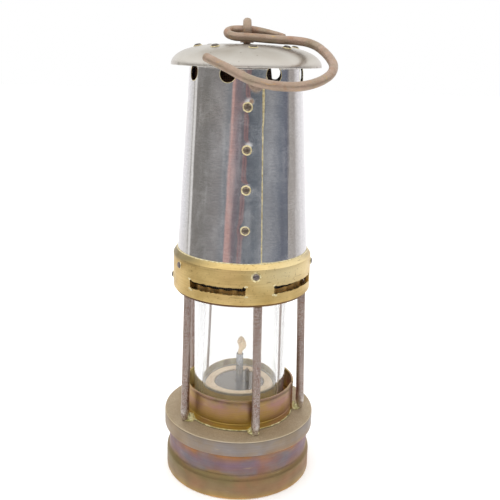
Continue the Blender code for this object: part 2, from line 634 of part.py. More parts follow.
# ---- assembly -------------------------------------------------------------------------------------
def build_lamp():
    """Build every piece, and parent the moving ones to empties on their axes."""
    build_vessel()
    build_burner()
    wick = build_wick()
    gland, rod, knob = build_pricker()
    washer = spun("vessel_seal_washer", ring(SPIGOT_RADIUS + 0.0006, 0.0408, SHOULDER_Z + GAP,
                                             FLANGE_BOTTOM + 0.0005), FIBRE)
    bonnet, seam_rivets = build_bonnet()
    frame_pieces = (build_base() + build_pillars() + build_glass() + build_vent_ring()
                    + build_gauzes() + [bonnet] + seam_rivets + build_dome(bonnet))
    swivel_pieces = build_swivel()
    hook = build_hook()
    for piece in lamp.objects:
        if piece.type == "MESH" and piece.modifiers:
            bake(piece)
    moves_with(axis_marker("wick_axis", (0.0, 0.0, WICK_TUBE_TOP)), [wick])
    moves_with(axis_marker("pricker_axis", (PRICKER_OFFSET, 0.0, 0.0195)), [gland, rod, knob])
    moves_with(axis_marker("frame_axis", (0.0, 0.0, SHOULDER_Z)), [washer] + frame_pieces)
    moves_with(axis_marker("swivel_axis", (0.0, 0.0, 0.2492)), swivel_pieces)
    moves_with(axis_marker("hook_axis", (0.0, 0.0, EYE_Z)), [hook])


build_lamp()
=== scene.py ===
"""The looks of a miner's flame safety lamp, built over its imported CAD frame.

Lengths are in metres and +Z is up. Angles around the lamp are in degrees, measured from the
front (-Y) towards the right (+X). Sizes that the frame holds are read from it, and the others
are named below. Colours are (red, green, blue) from 0 to 255, as they look on a screen.
"""
from math import asin, atan2, cos, degrees, pi, radians, sin, sqrt

import bmesh
import bpy
from mathutils import Matrix, Vector, noise


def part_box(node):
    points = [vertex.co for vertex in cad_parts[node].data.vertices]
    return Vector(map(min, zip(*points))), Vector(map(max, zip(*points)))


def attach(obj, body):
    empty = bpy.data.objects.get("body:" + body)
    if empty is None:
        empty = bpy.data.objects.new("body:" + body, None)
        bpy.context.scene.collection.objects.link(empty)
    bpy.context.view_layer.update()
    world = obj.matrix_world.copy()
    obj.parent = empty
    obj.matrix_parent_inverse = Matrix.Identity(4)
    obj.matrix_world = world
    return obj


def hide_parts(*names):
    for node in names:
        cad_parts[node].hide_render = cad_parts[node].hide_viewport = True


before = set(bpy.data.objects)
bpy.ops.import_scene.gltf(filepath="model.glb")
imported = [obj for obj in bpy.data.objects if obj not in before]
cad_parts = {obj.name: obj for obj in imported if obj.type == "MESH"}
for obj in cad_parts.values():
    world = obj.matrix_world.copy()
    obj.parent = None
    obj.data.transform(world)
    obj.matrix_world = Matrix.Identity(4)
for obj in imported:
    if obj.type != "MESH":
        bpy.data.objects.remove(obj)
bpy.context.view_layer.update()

MILLIMETRE = 0.001
FINE_STEPS = 192             # facets around a large turned piece
GLASS_STEPS = 256            # facets around the glass
SMALL_STEPS = 48             # facets around a rivet, screw or tube


def turned_size(node):
    """Radius, bottom and top of a CAD node that is turned about the lamp's axis."""
    low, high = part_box(node)
    return high[1], low[2], high[2]


def middle(node):
    """The centre of a CAD node's box, and its angle around the lamp."""
    low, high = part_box(node)
    centre = (Vector(low) + Vector(high)) / 2
    return centre, degrees(atan2(centre.x, -centre.y))


# ---- sizes that the frame holds -------------------------------------------------------------------
VESSEL_RADIUS, VESSEL_BOTTOM, NECK_TOP = turned_size("fuel_vessel")
FLANGE_RADIUS, FLANGE_BOTTOM, FLANGE_TOP = turned_size("frame_base_ring")
CUP_RADIUS, CUP_FOOT, CUP_TOP = turned_size("glass_cup")
GLASS_RADIUS = turned_size("glass_cylinder")[0]
PLATE_TOP = turned_size("upper_plate")[2]
RING_RADIUS, RING_BOTTOM, RING_TOP = turned_size("vent_ring")
BONNET_FOOT_RADIUS, BONNET_FOOT, BONNET_CROWN = turned_size("bonnet")
DOME_RADIUS = turned_size("dome")[0]
CAP_RADIUS, _, CAP_TOP = turned_size("burner_cap")
EYE_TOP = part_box("hook_eye")[1][2]
SEAM_RIVETS = [middle(f"seam_rivet_{i}") for i in (1, 2, 3, 4)]

# ---- sizes that only the shapes below need --------------------------------------------------------
WAIST_RADIUS = VESSEL_RADIUS - 0.0015
BAND_TOP = 0.0134
SHOULDER_Z = FLANGE_BOTTOM - 0.0003
SPIGOT_RADIUS = 0.033
SPIGOT_TOP = 0.0344
THREAD_PITCH = 0.0015
THREAD_DEPTH = 0.0005
NECK_RADIUS = 0.0196
VESSEL_WALL = 0.0013
BURNER_TOP = 0.0542
WICK_RADIUS = 0.0014
PRICKER_SHIFT = Matrix.Translation((0.0046, 0, 0))
GLASS_INNER = GLASS_RADIUS - 0.0054
SLIT_ANGLE = 80              # where the cup is split
SLIT_WIDTH = 1.4             # degrees
RING_CHAMFER_Z = RING_TOP - 0.0028
SLOT_ANGLES = (-21, 51, 123, 195)
SLOT_HALF_WIDTH = 24.3       # degrees
SLOT_Z = 0.1228
SLOT_HALF_HEIGHT = 0.002
BURR_SIZE = 0.00075
BONNET_TOP_RADIUS = 0.0299
BONNET_TOP = BONNET_CROWN - 0.0018
BONNET_WALL = 0.0008
SEAM_ANGLE = 16
LAP_THICKNESS = 0.00045
WAVY_ANGLE = 42              # where the sheet is wavy near its foot
OUTLET_ANGLES = (-62.5, -17.5, 27.5, 72.5, 104, 148, -155, -110)
OUTLET_RADIUS = 0.00435
OUTLET_Z = 0.2337
DOME_RIM_Z = 0.2374
DOME_WALL = 0.0008
DOME_RISE = 0.011
DOME_POWER = 3.05            # how square the dome's shoulder is
DOME_HOLE = 0.0024
DOME_RIVET_CIRCLE = 0.026
EYE_MAJOR = 0.0045
EYE_WIRE = 0.00195
EYE_WIDENING = 1.25          # the eye is wider along its hole than across it
EYE_Z = EYE_TOP - EYE_MAJOR - EYE_WIRE               # on the hook's hinge line
HOOK_WIRE = 0.0022
HOOK_TILT = 20
PILLAR_RADIUS = 0.0023

# The hook's centre line in its own plane, in millimetres: distance to the right of the hinge's
# middle, and distance out from the hinge line.
HOOK_ROUTE = [
    (19.6, 9), (15.6, 6), (9.4, 2.6), (3.4, 0.2), (-0.6, -0.1), (-5.4, -0.1), (-8.8, 1.4),
    (-10.2, 4.6), (-9, 8.3), (-5.4, 10.8), (0.6, 11.2), (9.2, 12.7), (17.6, 14), (24.6, 14.7),
    (30.4, 16.9), (34.7, 21.4), (38, 29), (40.3, 38), (41.3, 47.5), (39.5, 57),
    (35.4, 64.6), (30, 70.2), (23.4, 73.6), (16, 73.9), (9, 72), (3, 68.2),
    (-2.6, 62.2), (-8.6, 54.2), (-14.6, 47), (-19.8, 40.4),
]

# The wick's centre line, in millimetres: distance to the right of the axis, and height.
WICK_STRAIGHT = [(-7.5, 6), (-7.5, 16), (-6.6, 20), (-4.4, 24), (-1.6, 27.4), (-0.2, 30.4),
                 (0, 34), (0, 56), (0, 70)]
WICK_CURLED = [(0.1, 72.6), (1.1, 75), (1.4, 77), (0.6, 79), (-0.9, 80)]

# How the sheet is puckered at each seam rivet, from the top down: how far to the right of the
# rivet, how far above it, and how far the sheet stands out (or in) there.
RIVET_PUCKERS = [
    (0.0009, 0.0004, 0.0004), (0.001, 0.0004, 0.00046), (0.001, 0.0003, 0.00042),
    (0, 0, -0.00036)]

# What the bonnet mirrors: the studio's colour at each angle from the front, to the right.
STUDIO_STRIPS = [
    (-180, (240, 238, 239)), (-142, (221, 219, 220)), (-124, (206, 203, 200)),
    (-120.5, (150, 146, 140)), (-118, (206, 203, 199)), (-112, (222, 219, 215)),
    (-109, (128, 124, 119)), (-80, (121, 118, 114)), (-46, (136, 133, 132)),
    (-28.6, (126, 129, 133)), (-27.6, (188, 154, 147)), (-23.2, (182, 148, 141)),
    (-21.8, (124, 112, 116)), (-12, (108, 107, 111)), (-9, (146, 114, 112)),
    (-6, (110, 98, 102)), (-2, (138, 108, 106)), (3, (96, 100, 106)),
    (26, (106, 111, 117)), (38, (134, 136, 139)), (50, (140, 141, 144)),
    (72, (114, 118, 126)), (86, (104, 106, 116)), (91, (122, 120, 122)),
    (94, (160, 154, 148)), (108, (158, 151, 146)), (114, (190, 185, 182)),
    (126, (224, 220, 220)), (150, (238, 236, 237)), (180, (240, 238, 239))]


# ---- small helpers --------------------------------------------------------------------------------
def around(angle, radius, height):
    """The point at an angle, a radius and a height."""
    turn = radians(angle)
    return Vector((radius * sin(turn), -radius * cos(turn), height))


def ease(low, high, value):
    """0 below low, 1 above high, and a smooth step between them."""
    share = min(max((value - low) / (high - low), 0), 1)
    return share * share * (3 - 2 * share)


def bump_at(distance, width):
    """A bell curve: 1 at distance 0, fading out over a width."""
    return 2.718 ** (-(distance / width) ** 2)


def grain(point, size=1, seed=0):
    """Smooth noise from -1 to 1 that varies over a size."""
    return noise.noise(Vector(point) / size + Vector((seed, seed * 1.7, -seed)))


def pointing(at, direction):
    """The matrix that puts a piece at a point with its own Z axis along a direction."""
    return Matrix.Translation(at) @ direction.to_track_quat("Z", "Y").to_matrix().to_4x4()


def facing_out(angle, radius, height):
    """The matrix that puts a piece at a point around the lamp, looking outwards."""
    return pointing(around(angle, radius, height), around(angle, 1, 0))


def turned_to(angle, at):
    """The matrix that puts a piece at a point, turned with the lamp's side there."""
    return Matrix.Translation(at) @ Matrix.Rotation(radians(angle), 4, "Z")


def linear(color):
    """A screen colour as linear RGBA; a linear RGBA colour or a node's output stays as it is."""
    if isinstance(color, bpy.types.NodeSocket) or len(color) == 4:
        return color
    shares = [level / 255 for level in color]
    return tuple(((c + 0.055) / 1.055) ** 2.4 if c > 0.04 else c / 12.92 for c in shares) + (1,)


# ---- mesh helpers ---------------------------------------------------------------------------------
def added(name, data):
    """A new object in the scene."""
    thing = bpy.data.objects.new(name, data)
    bpy.context.scene.collection.objects.link(thing)
    return thing


def shaded(mesh, crease):
    """Shade a mesh smooth up to a crease angle."""
    mesh.shade_smooth()
    mesh.set_sharp_from_angle(angle=radians(crease))


def cleaned(mesh, crease=35):
    """Weld a mesh, turn its faces outwards and shade it."""
    welded = bmesh.new()
    welded.from_mesh(mesh)
    bmesh.ops.remove_doubles(welded, verts=welded.verts, dist=0.0000004)
    bmesh.ops.dissolve_degenerate(welded, edges=welded.edges, dist=0.0000002)
    bmesh.ops.recalc_face_normals(welded, faces=welded.faces)
    welded.to_mesh(mesh)
    welded.free()
    shaded(mesh, crease)


def lofted(name, loops, finish, closed=True, whole_loops=True, crease=35):
    """A piece whose skin runs from each loop of points to the next.

    closed joins the last loop to the first; otherwise both end loops are filled in. whole_loops
    joins each loop's last point to its first.
    """
    count = len(loops[0])
    total = count * len(loops)
    faces = []
    for here in range(0, total if closed else total - count, count):
        there = (here + count) % total
        for i in range(count if whole_loops else count - 1):
            j = (i + 1) % count
            faces.append((here + i, here + j, there + j, there + i))
    if not closed:
        faces += [tuple(range(count)), tuple(range(total - count, total))]
    mesh = bpy.data.meshes.new(name)
    mesh.from_pydata([point for loop in loops for point in loop], [], faces)
    cleaned(mesh, crease)
    if finish is not None:
        mesh.materials.append(finish)
    return added(name, mesh)


def rounded(outline, edge=0.0003, steps=4):
    """An outline with every corner eased; a corner's third number is its own size of easing."""
    result = []
    for i, corner in enumerate(outline):
        here = Vector(corner[:2])
        size = corner[2] if len(corner) > 2 else edge
        if size == 0 or here.x == 0:
            result.append(here)
            continue
        back = Vector(outline[i - 1][:2]) - here
        ahead = Vector(outline[(i + 1) % len(outline)][:2]) - here
        first = here + back.normalized() * min(size, 0.45 * back.length)
        last = here + ahead.normalized() * min(size, 0.45 * ahead.length)
        for k in range(steps + 1):
            t = k / steps
            result.append(first * (1 - t) ** 2 + here * 2 * t * (1 - t) + last * t * t)
    return result


def divided(outline, longest):
    """An outline whose long straight runs are split."""
    result = []
    for i, here in enumerate(outline):
        result.append(here)
        ahead = outline[(i + 1) % len(outline)]
        if here[0] == 0 and ahead[0] == 0:
            continue
        pieces = int((Vector(ahead) - Vector(here)).length / longest)
        result += [Vector(here).lerp(Vector(ahead), k / pieces) for k in range(1, pieces)]
    return result


def turned(name, outline, finish, steps=FINE_STEPS, warp=None, edge=None, longest=None,
           start=0, sweep=360):
    """A piece turned about Z. An outline off the axis is closed into a ring.

    warp(angle, radius, height) gives the radius and height that a point really has. edge and
    longest, where given, are for rounded() and divided().
    """
    if edge is not None:
        outline = rounded(outline, edge)
    if longest is not None:
        outline = divided(outline, longest)
    full = sweep == 360
    columns = []
    for k in range(steps if full else steps + 1):
        angle = start + sweep * k / steps
        points = outline if warp is None else [warp(angle, *point) for point in outline]
        columns.append([around(angle, *point) for point in points])
    return lofted(name, columns, finish, full, outline[0][0] != 0)


def ring(inner, outer, bottom, top):
    """The outline of a plain ring."""
    return [(outer, top), (outer, bottom), (inner, bottom), (inner, top)]


def rod(name, radius, bottom, top, steps=SMALL_STEPS):
    """A plain turned rod, to cut or to join with."""
    return turned(name, [(0, top), (radius, top), (radius, bottom), (0, bottom)], None, steps)


def smooth_route(points, per_span):
    """Points on a smooth curve through some points (Catmull-Rom)."""
    padded = [2 * points[0] - points[1], *points, 2 * points[-1] - points[-2]]
    route = []
    for i in range(len(points) - 1):
        a, b, c, d = padded[i:i + 4]
        for k in range(per_span):
            t = k / per_span
            route.append(0.5 * (2 * b + (c - a) * t + (2 * a - 5 * b + 4 * c - d) * t * t
                                + (3 * b - a - 3 * c + d) * t * t * t))
    return route + [points[-1]]


def end_rings(centre, direction, radius, edge, steps=5):
    """Centres and radii of the rings that round off a wire's end, from the wire to its tip."""
    turns = [(pi / 2) * k / steps for k in range(steps + 1)]
    return [(centre + direction * (edge * (sin(turn) - 1)), radius - edge * (1 - cos(turn)))
            for turn in turns]


def swept(name, route, radii, finish, sides=20, edge=0.0004, closed=False, shape=None):
    """A wire along a route, with a radius at each point; shape(share, turn) scales it."""
    stations = list(zip(route, radii))
    if not closed:
        first = (route[0] - route[1]).normalized()
        last = (route[-1] - route[-2]).normalized()
        stations = (end_rings(route[0], first, radii[0], edge)[::-1] + stations[1:-1]
                    + end_rings(route[-1], last, radii[-1], edge))
    count = len(stations)
    side = None
    loops = []
    for i, (centre, size) in enumerate(stations):
        before = stations[i - 1][0] if i > 0 or closed else centre
        after = stations[(i + 1) % count][0] if i < count - 1 or closed else centre
        along = (after - before).normalized()
        if side is None:
            side = along.orthogonal().normalized()
        side = (side - along * side.dot(along)).normalized()
        other = along.cross(side)
        loop = []
        for k in range(sides):
            turn = 2 * pi * k / sides
            reach = size * (shape(i / count, turn) if shape else 1)
            loop.append(centre + side * (reach * cos(turn)) + other * (reach * sin(turn)))
        loops.append(loop)
    return lofted(name, loops, finish, closed, crease=50)


def hoop(name, count, centre_at, radius_at, finish, sides=10, shape=None):
    """A wire that closes on itself; its centre and radius are given at each angle."""
    angles = [360 * k / count for k in range(count)]
    route = [centre_at(angle) for angle in angles]
    radii = [radius_at(angle) for angle in angles]
    return swept(name, route, radii, finish, sides, closed=True, shape=shape)


def crumb(name, subdivisions, shape, finish):
    """A small lump: shape() gives the place of each point of a ball."""
    ball = bmesh.new()
    bmesh.ops.create_icosphere(ball, subdivisions=subdivisions, radius=1)
    for vertex in ball.verts:
        vertex.co = shape(vertex.co.copy())
    mesh = bpy.data.meshes.new(name)
    ball.to_mesh(mesh)
    ball.free()
    mesh.shade_smooth()
    mesh.materials.append(finish)
    return added(name, mesh)


def joined(name, pieces):
    """One piece made of several, keeping each one's material."""
    materials = []
    merged = bmesh.new()
    for piece in pieces:
        first = len(merged.faces)
        merged.from_mesh(piece.data)
        merged.faces.ensure_lookup_table()
        for used in piece.data.materials:
            if used not in materials:
                materials.append(used)
            for face in merged.faces[first:]:
                face.material_index = materials.index(used)
        bpy.data.objects.remove(piece)
    mesh = bpy.data.meshes.new(name)
    merged.to_mesh(mesh)
    merged.free()
    shaded(mesh, 40)
    for used in materials:
        mesh.materials.append(used)
    return added(name, mesh)


def moved(piece, matrix):
    """Put a piece's mesh where a matrix says."""
    piece.data.transform(matrix)
    return piece


def cut(piece, tool, operation="DIFFERENCE"):
    """Cut a piece with a tool, or join the tool to it, and remove the tool."""
    step = piece.modifiers.new("cut", "BOOLEAN")
    step.operation = operation
    step.solver = "EXACT"
    step.object = tool
    depsgraph = bpy.context.evaluated_depsgraph_get()
    mesh = bpy.data.meshes.new_from_object(piece.evaluated_get(depsgraph))
    piece.modifiers.clear()
    mesh.name = piece.name
    cleaned(mesh)
    piece.data = mesh
    bpy.data.objects.remove(tool)


def place(piece, body, finish_slot, *nodes):
    """Let a piece ride on a body and hide the CAD nodes that it stands for; finish_slot is not used."""
    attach(piece, body)
    if nodes:
        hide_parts(*nodes)


# ---- material helpers -----------------------------------------------------------------------------
class Nodes:
    """Shader nodes in a tree. Their inputs are values, colours or other nodes' outputs."""

    def __init__(self, tree):
        self.tree = tree

    def give(self, socket, value):
        """Set an input, or link it to a node's output."""
        if isinstance(value, bpy.types.NodeSocket):
            self.tree.links.new(value, socket)
        else:
            socket.default_value = value

    def add(self, kind, output, inputs, **settings):
        """Add a node; the result is one of its outputs."""
        node = self.tree.nodes.new("ShaderNode" + kind)
        for key, value in settings.items():
            setattr(node, key, value)
        for key, value in inputs.items():
            self.give(node.inputs[key], value)
        return node.outputs[output]

    def math(self, operation, first, second=0):
        """One calculation with two values."""
        return self.add("Math", 0, {0: first, 1: second}, operation=operation)

    def level(self, value, low, high, to_low=0, to_high=1):
        """A value mapped from one range to another, and clamped."""
        return self.add("MapRange", "Result", {
            "Value": value, "From Min": low, "From Max": high, "To Min": to_low, "To Max": to_high})

    def mix(self, amount, first, second):
        """Two colours mixed by an amount."""
        return self.add("Mix", 2, {0: amount, 6: linear(first), 7: linear(second)}, data_type="RGBA")

    def ramp(self, value, stops):
        """A colour ramp with stops of (position, colour)."""
        color = self.add("ValToRGB", "Color", {"Fac": value})
        elements = color.node.color_ramp.elements
        while len(elements) < len(stops):
            elements.new(0.5)
        for element, (position, tint) in zip(elements, stops):
            element.position = position
            element.color = linear(tint)
        return color


class Finish(Nodes):
    """A Principled material in object coordinates; tints are laid over its base one by one."""

    def __init__(self, name, color, roughness, metallic=1):
        self.material = bpy.data.materials.new(name)
        self.material.use_nodes = True
        super().__init__(self.material.node_tree)
        self.inputs = self.tree.nodes["Principled BSDF"].inputs
        self.inputs["Base Color"].default_value = linear(color)
        self.inputs["Roughness"].default_value = roughness
        self.inputs["Metallic"].default_value = metallic
        self.base = color
        self.at = self.add("TexCoord", "Object", {})

    def cloud(self, scale, detail, stretch=None, distortion=0, roughness=0.55):
        """Noise from 0 to 1; stretch is an extra scale along each axis."""
        at = self.at
        if stretch is not None:
            at = self.add("Mapping", 0, {"Vector": at, "Scale": stretch})
        return self.add("TexNoise", "Fac", {"Vector": at, "Scale": scale, "Detail": detail,
                                            "Roughness": roughness, "Distortion": distortion})

    def cells(self, scale):
        """Distance to the nearest of many scattered points."""
        return self.add("TexVoronoi", "Distance", {"Vector": self.at, "Scale": scale})

    def turning_lines(self, scale=1500, round_scale=6):
        """Fine lines that run round the lamp's axis, from 0 to 1."""
        return self.cloud(1, 3, (round_scale, round_scale, scale))

    def height(self):
        """The height above the floor."""
        return self.add("SeparateXYZ", "Z", {0: self.at})

    def vector(self, operation, first, second=(0, 0, 0), output="Vector"):
        """One calculation with two vectors."""
        return self.add("VectorMath", output, {0: first, 1: second}, operation=operation)

    def radius(self):
        """The distance from the lamp's axis."""
        flat = self.vector("MULTIPLY", self.at, (1, 1, 0))
        return self.vector("LENGTH", flat, output="Value")

    def spot(self, centre, squeeze, size):
        """1 at a point, fading to 0 at a size; squeeze narrows the spot along each axis."""
        gap = self.vector("MULTIPLY", self.vector("SUBTRACT", self.at, centre), squeeze)
        return self.level(self.vector("LENGTH", gap, output="Value"), 0, size, 1, 0)

    def cover(self, color, share):
        """Lay a colour over a share of the base."""
        self.base = self.mix(share, self.base, color)

    def tint(self, color, value, low, high, amount=1):
        """Lay a colour over the base where a value goes from low (none) to high (an amount)."""
        self.cover(color, self.level(value, low, high, 0, amount))

    def roughness(self, value, low, high, smooth, rough):
        """Let the roughness follow a value."""
        self.give(self.inputs["Roughness"], self.level(value, low, high, smooth, rough))

    def dull(self, share):
        """Take away a share of the metal, which looks hazy."""
        self.give(self.inputs["Metallic"], self.math("SUBTRACT", 1, share))

    def bump(self, value, distance):
        """Add relief; a second call adds to the first."""
        normal = self.inputs["Normal"]
        relief = {"Height": value, "Distance": distance, "Strength": 1}
        if normal.links:
            relief["Normal"] = normal.links[0].from_socket
        self.give(normal, self.add("Bump", "Normal", relief))

    def done(self):
        """The material, with its base colour linked."""
        self.give(self.inputs["Base Color"], self.base)
        return self.material


# ---- materials ------------------------------------------------------------------------------------
def brass_with_tints_and_reflections(name, bottom, top, stops, patches, roughness, bare=None):
    """Old brass whose colours change with height, with patches of other colours: partly heat tints and
    partly painted reflections of the studio.

    patches holds (tint, amount, the height that the patches stay above).
    bare gives a value that is 1 where the metal is dull, and its colour there.
    """
    finish = Finish(name, stops[0][1], roughness)
    waver = finish.level(finish.cloud(55, 3, (1, 1, 0.6)), 0.3, 0.7, -0.0011, 0.0011)
    height = finish.math("ADD", finish.height(), waver)
    # Colours by height: partly heat tints, partly painted reflections.
    finish.base = finish.ramp(finish.level(height, bottom, top), stops)
    for k, (tint, amount, floor) in enumerate(patches):
        spots = finish.cloud(31 + 9 * k, 4, (1 + 0.2 * k, 1, 1.9), 0.6)
        finish.cover(tint, finish.math("MULTIPLY", finish.level(spots, 0.45, 0.68, 0, amount),
                                       finish.level(height, floor - 0.001, floor + 0.001)))
    lines = finish.turning_lines()
    finish.tint((112, 96, 76), lines, 0.38, 0.66, 0.12)
    finish.tint((206, 182, 142), finish.cloud(1, 2, (90, 90, 700)), 0.68, 0.76, 0.35)
    rough = finish.level(finish.cloud(120, 5), 0.3, 0.7, roughness - 0.07, roughness + 0.1)
    if bare is not None:
        where, color = bare(finish)
        finish.cover(color, where)
        rough = finish.math("ADD", rough, finish.math("MULTIPLY", where, 0.2))
        finish.dull(finish.math("MULTIPLY", where, 0.65))
    finish.give(finish.inputs["Roughness"], rough)
    finish.bump(lines, 0.000012)
    finish.bump(finish.cloud(900, 3), 0.00002)
    return finish.done()


def dull_top_and_edge_highlight(finish):
    """Where the base ring faces up, dull grey-olive, and a pale painted highlight along its edge just
    below.
    """
    height = finish.height()
    up = finish.level(height, FLANGE_TOP - 0.00022, FLANGE_TOP - 0.00012)
    # Painted highlight along the flange's rounded top edge.
    edge = finish.level(height, FLANGE_TOP - 0.00052, FLANGE_TOP - 0.0003, 0, 0.6)
    flat = finish.mix(finish.cloud(60, 5), (184, 168, 144), (152, 134, 106))
    speckle = finish.level(finish.cloud(1700, 3), 0.42, 0.66, 0, 0.55)
    flat = finish.mix(speckle, flat, (126, 108, 82))
    return finish.math("MAXIMUM", up, edge), finish.mix(up, (222, 206, 172), flat)


def inside_cup(finish):
    """Where the cup faces inwards, and the pale olive it has there."""
    inwards = finish.level(finish.radius(), CUP_RADIUS - 0.00075, CUP_RADIUS - 0.0005, 1, 0)
    mottle = finish.level(finish.cloud(130, 5), 0.35, 0.65)
    return inwards, finish.mix(mottle, (212, 198, 142), (150, 126, 70))


def bright_brass(name, color, dark, roughness, patches=()):
    """Rubbed brass with fine lines round the axis, darker smudges and small brown marks.

    patches holds (centre, squeeze, size, tint, amount) of tints at one place each.
    """
    finish = Finish(name, color, roughness)
    lines = finish.turning_lines(1900, 10)
    finish.tint(dark, lines, 0.35, 0.7, 0.32)
    finish.tint(dark, finish.cloud(48, 5, (1, 1, 1.8), 0.5), 0.44, 0.7, 0.6)
    finish.tint((222, 178, 104), finish.cloud(30, 3), 0.5, 0.68, 0.3)
    for centre, squeeze, size, tint, amount in patches:
        finish.cover(tint, finish.math("MULTIPLY", finish.spot(centre, squeeze, size), amount))
    scratches = finish.cloud(1, 3, (60, 60, 850))
    finish.tint((112, 84, 44), scratches, 0.66, 0.73, 0.65)
    finish.tint((140, 108, 60), finish.cloud(900, 3), 0.6, 0.72, 0.45)
    finish.roughness(finish.cloud(150, 4), 0.3, 0.7, roughness - 0.06, roughness + 0.12)
    finish.bump(lines, 0.00004)
    finish.bump(scratches, 0.00004)
    return finish.done()


def polished_steel():
    """Bright rolled sheet steel with a cloudy haze of fine scratches, fine lines and a few specks."""
    finish = Finish("polished_steel_sheet", (226, 226, 228), 0.07)
    haze = finish.cloud(85, 6, (1, 1, 0.7), 0.4, 0.7)
    finish.tint((214, 202, 186), finish.cloud(22, 3), 0.52, 0.72, 0.25)
    finish.tint((176, 177, 180), finish.cloud(1, 3, (420, 420, 2100)), 0.4, 0.64, 0.3)
    finish.tint((250, 250, 246), finish.cells(330), 0.09, 0.05, 0.35)
    sand = finish.cloud(1100, 3)
    scratches = finish.cloud(1, 4, (260, 260, 14))
    rolled = finish.cloud(1, 3, (60, 60, 900))
    cloudy = finish.math("MULTIPLY", finish.level(haze, 0.44, 0.66), finish.level(sand, 0.25, 0.75))
    lined = finish.math("ADD", finish.level(scratches, 0.52, 0.76, 0, 0.14),
                        finish.level(rolled, 0.54, 0.78, 0, 0.07))
    finish.dull(finish.math("ADD", finish.math("MULTIPLY", cloudy, 0.2), lined))
    finish.roughness(haze, 0.35, 0.7, 0.045, 0.11)
    finish.bump(finish.turning_lines(2600, 60), 0.000005)
    finish.bump(scratches, 0.000012)
    finish.bump(sand, 0.000004)
    return finish.done()


def satin_nickel():
    """The dome's worn plating: warm white, with a fine brushed lay, scratches and dings, and a painted
    highlight just above its rim.
    """
    finish = Finish("satin_nickel_dome", (184, 180, 172), 0.3)
    cloud = finish.cloud(42, 5, None, 0.5)
    finish.tint((158, 148, 134), cloud, 0.42, 0.66, 0.55)
    finish.tint((112, 98, 82), finish.cells(190), 0.1, 0.04, 0.55)
    scratch = finish.cloud(1, 3, (140, 900, 900), 1.5)
    finish.tint((140, 126, 108), scratch, 0.68, 0.74, 0.45)
    # Paler towards the rim: a painted highlight on the lower shoulder.
    finish.tint((236, 232, 226), finish.height(), DOME_RIM_Z + 0.007, DOME_RIM_Z, 0.62)
    scrape = finish.spot(around(-21, 0.0247, DOME_RIM_Z + 0.0097), (3.2, 7, 7), 0.018)
    torn = finish.level(finish.cloud(380, 4, (0.5, 1.6, 1.6)), 0.46, 0.54)
    finish.cover((110, 90, 68), finish.math("MULTIPLY", scrape, torn))
    rim = finish.level(finish.height(), DOME_RIM_Z + 0.0002, DOME_RIM_Z + 0.002, 1, 0)
    knocks = finish.level(finish.cloud(330, 3), 0.56, 0.66, 0, 0.5)
    finish.cover((104, 98, 92), finish.math("MULTIPLY", rim, knocks))
    finish.roughness(cloud, 0.3, 0.7, 0.3, 0.42)
    finish.bump(scratch, 0.00003)
    finish.bump(finish.cloud(1, 3, (90, 1500, 1500), 0.4), 0.00003)
    finish.bump(finish.cloud(1300, 3), 0.00001)
    return finish.done()


def rusty_wire():
    """Handled iron wire: rosy brown rust skin, grey bare patches and small gold streaks."""
    finish = Finish("rusty_steel_wire", (177, 152, 135), 0.48, 0.75)
    finish.tint((162, 147, 127), finish.cloud(110, 6, None, 0.8), 0.4, 0.66)
    rust = finish.cloud(210, 5, None, 0.3)
    finish.tint((176, 134, 106), rust, 0.56, 0.7, 0.5)
    finish.tint((214, 170, 104), finish.cloud(1, 4, (260, 420, 420), 0.6), 0.62, 0.72, 0.6)
    pits = finish.cloud(2300, 4)
    finish.tint((92, 76, 70), pits, 0.56, 0.7, 0.45)
    finish.roughness(rust, 0.35, 0.65, 0.36, 0.6)
    finish.bump(pits, 0.00008)
    finish.bump(rust, 0.00015)
    return finish.done()


def pillar_steel():
    """The pillars: brown-grey steel, speckled with pale and rust-red pits, with a painted highlight near
    the feet.
    """
    finish = Finish("rusty_steel_pillar", (166, 150, 139), 0.46)
    finish.tint((142, 124, 114), finish.cloud(70, 5, (1, 1, 0.5)), 0.42, 0.62)
    pale = finish.cloud(2600, 2)
    finish.tint((226, 212, 208), pale, 0.5, 0.6, 0.85)
    finish.tint((140, 88, 72), finish.cloud(1500, 3, (1, 1, 0.7)), 0.54, 0.64, 0.6)
    # A painted highlight near the feet, broken into patches by noise.
    foot = finish.level(finish.height(), FLANGE_TOP + 0.002, FLANGE_TOP + 0.013, 0.85, 0)
    worn = finish.level(finish.cloud(600, 4), 0.36, 0.56)
    finish.cover((232, 228, 222), finish.math("MULTIPLY", foot, worn))
    finish.roughness(pale, 0.4, 0.7, 0.32, 0.52)
    finish.bump(pale, 0.0001)
    finish.bump(finish.cloud(420, 3), 0.00012)
    return finish.done()


def grey_metal(name, color, roughness, bare=None):
    """Tinned sheet with faint haze and scratches; bare is as in brass_with_tints_and_reflections."""
    finish = Finish(name, color, roughness)
    haze = finish.cloud(130, 5)
    finish.tint((128, 124, 120), haze, 0.42, 0.7, 0.35)
    finish.tint((206, 206, 208), finish.cloud(1, 2, (700, 60, 60), 0.8), 0.66, 0.72, 0.4)
    if bare is not None:
        where, worn = bare(finish)
        finish.cover(worn, where)
        finish.dull(finish.math("MULTIPLY", where, 0.8))
    finish.roughness(haze, 0.3, 0.7, roughness * 0.7, roughness * 1.4)
    finish.bump(finish.cloud(800, 3), 0.00001)
    return finish.done()


def gilded_skirt(finish):
    """The cap's side below its lip, where the grey has worn off the brass."""
    below = finish.level(finish.height(), CAP_TOP - 0.0016, CAP_TOP - 0.001, 1, 0)
    return below, finish.mix(finish.cloud(200, 4), (206, 176, 104), (150, 118, 60))


def fibre(name, color, dark):
    """Pressed fibre or leather packing: fine fibres, darker in patches."""
    finish = Finish(name, color, 0.85, 0)
    finish.tint(dark, finish.cloud(160, 5), 0.42, 0.66, 0.6)
    threads = finish.cloud(2600, 3, (1, 0.4, 1))
    finish.tint(dark, threads, 0.5, 0.7, 0.35)
    finish.bump(threads, 0.00006)
    return finish.done()


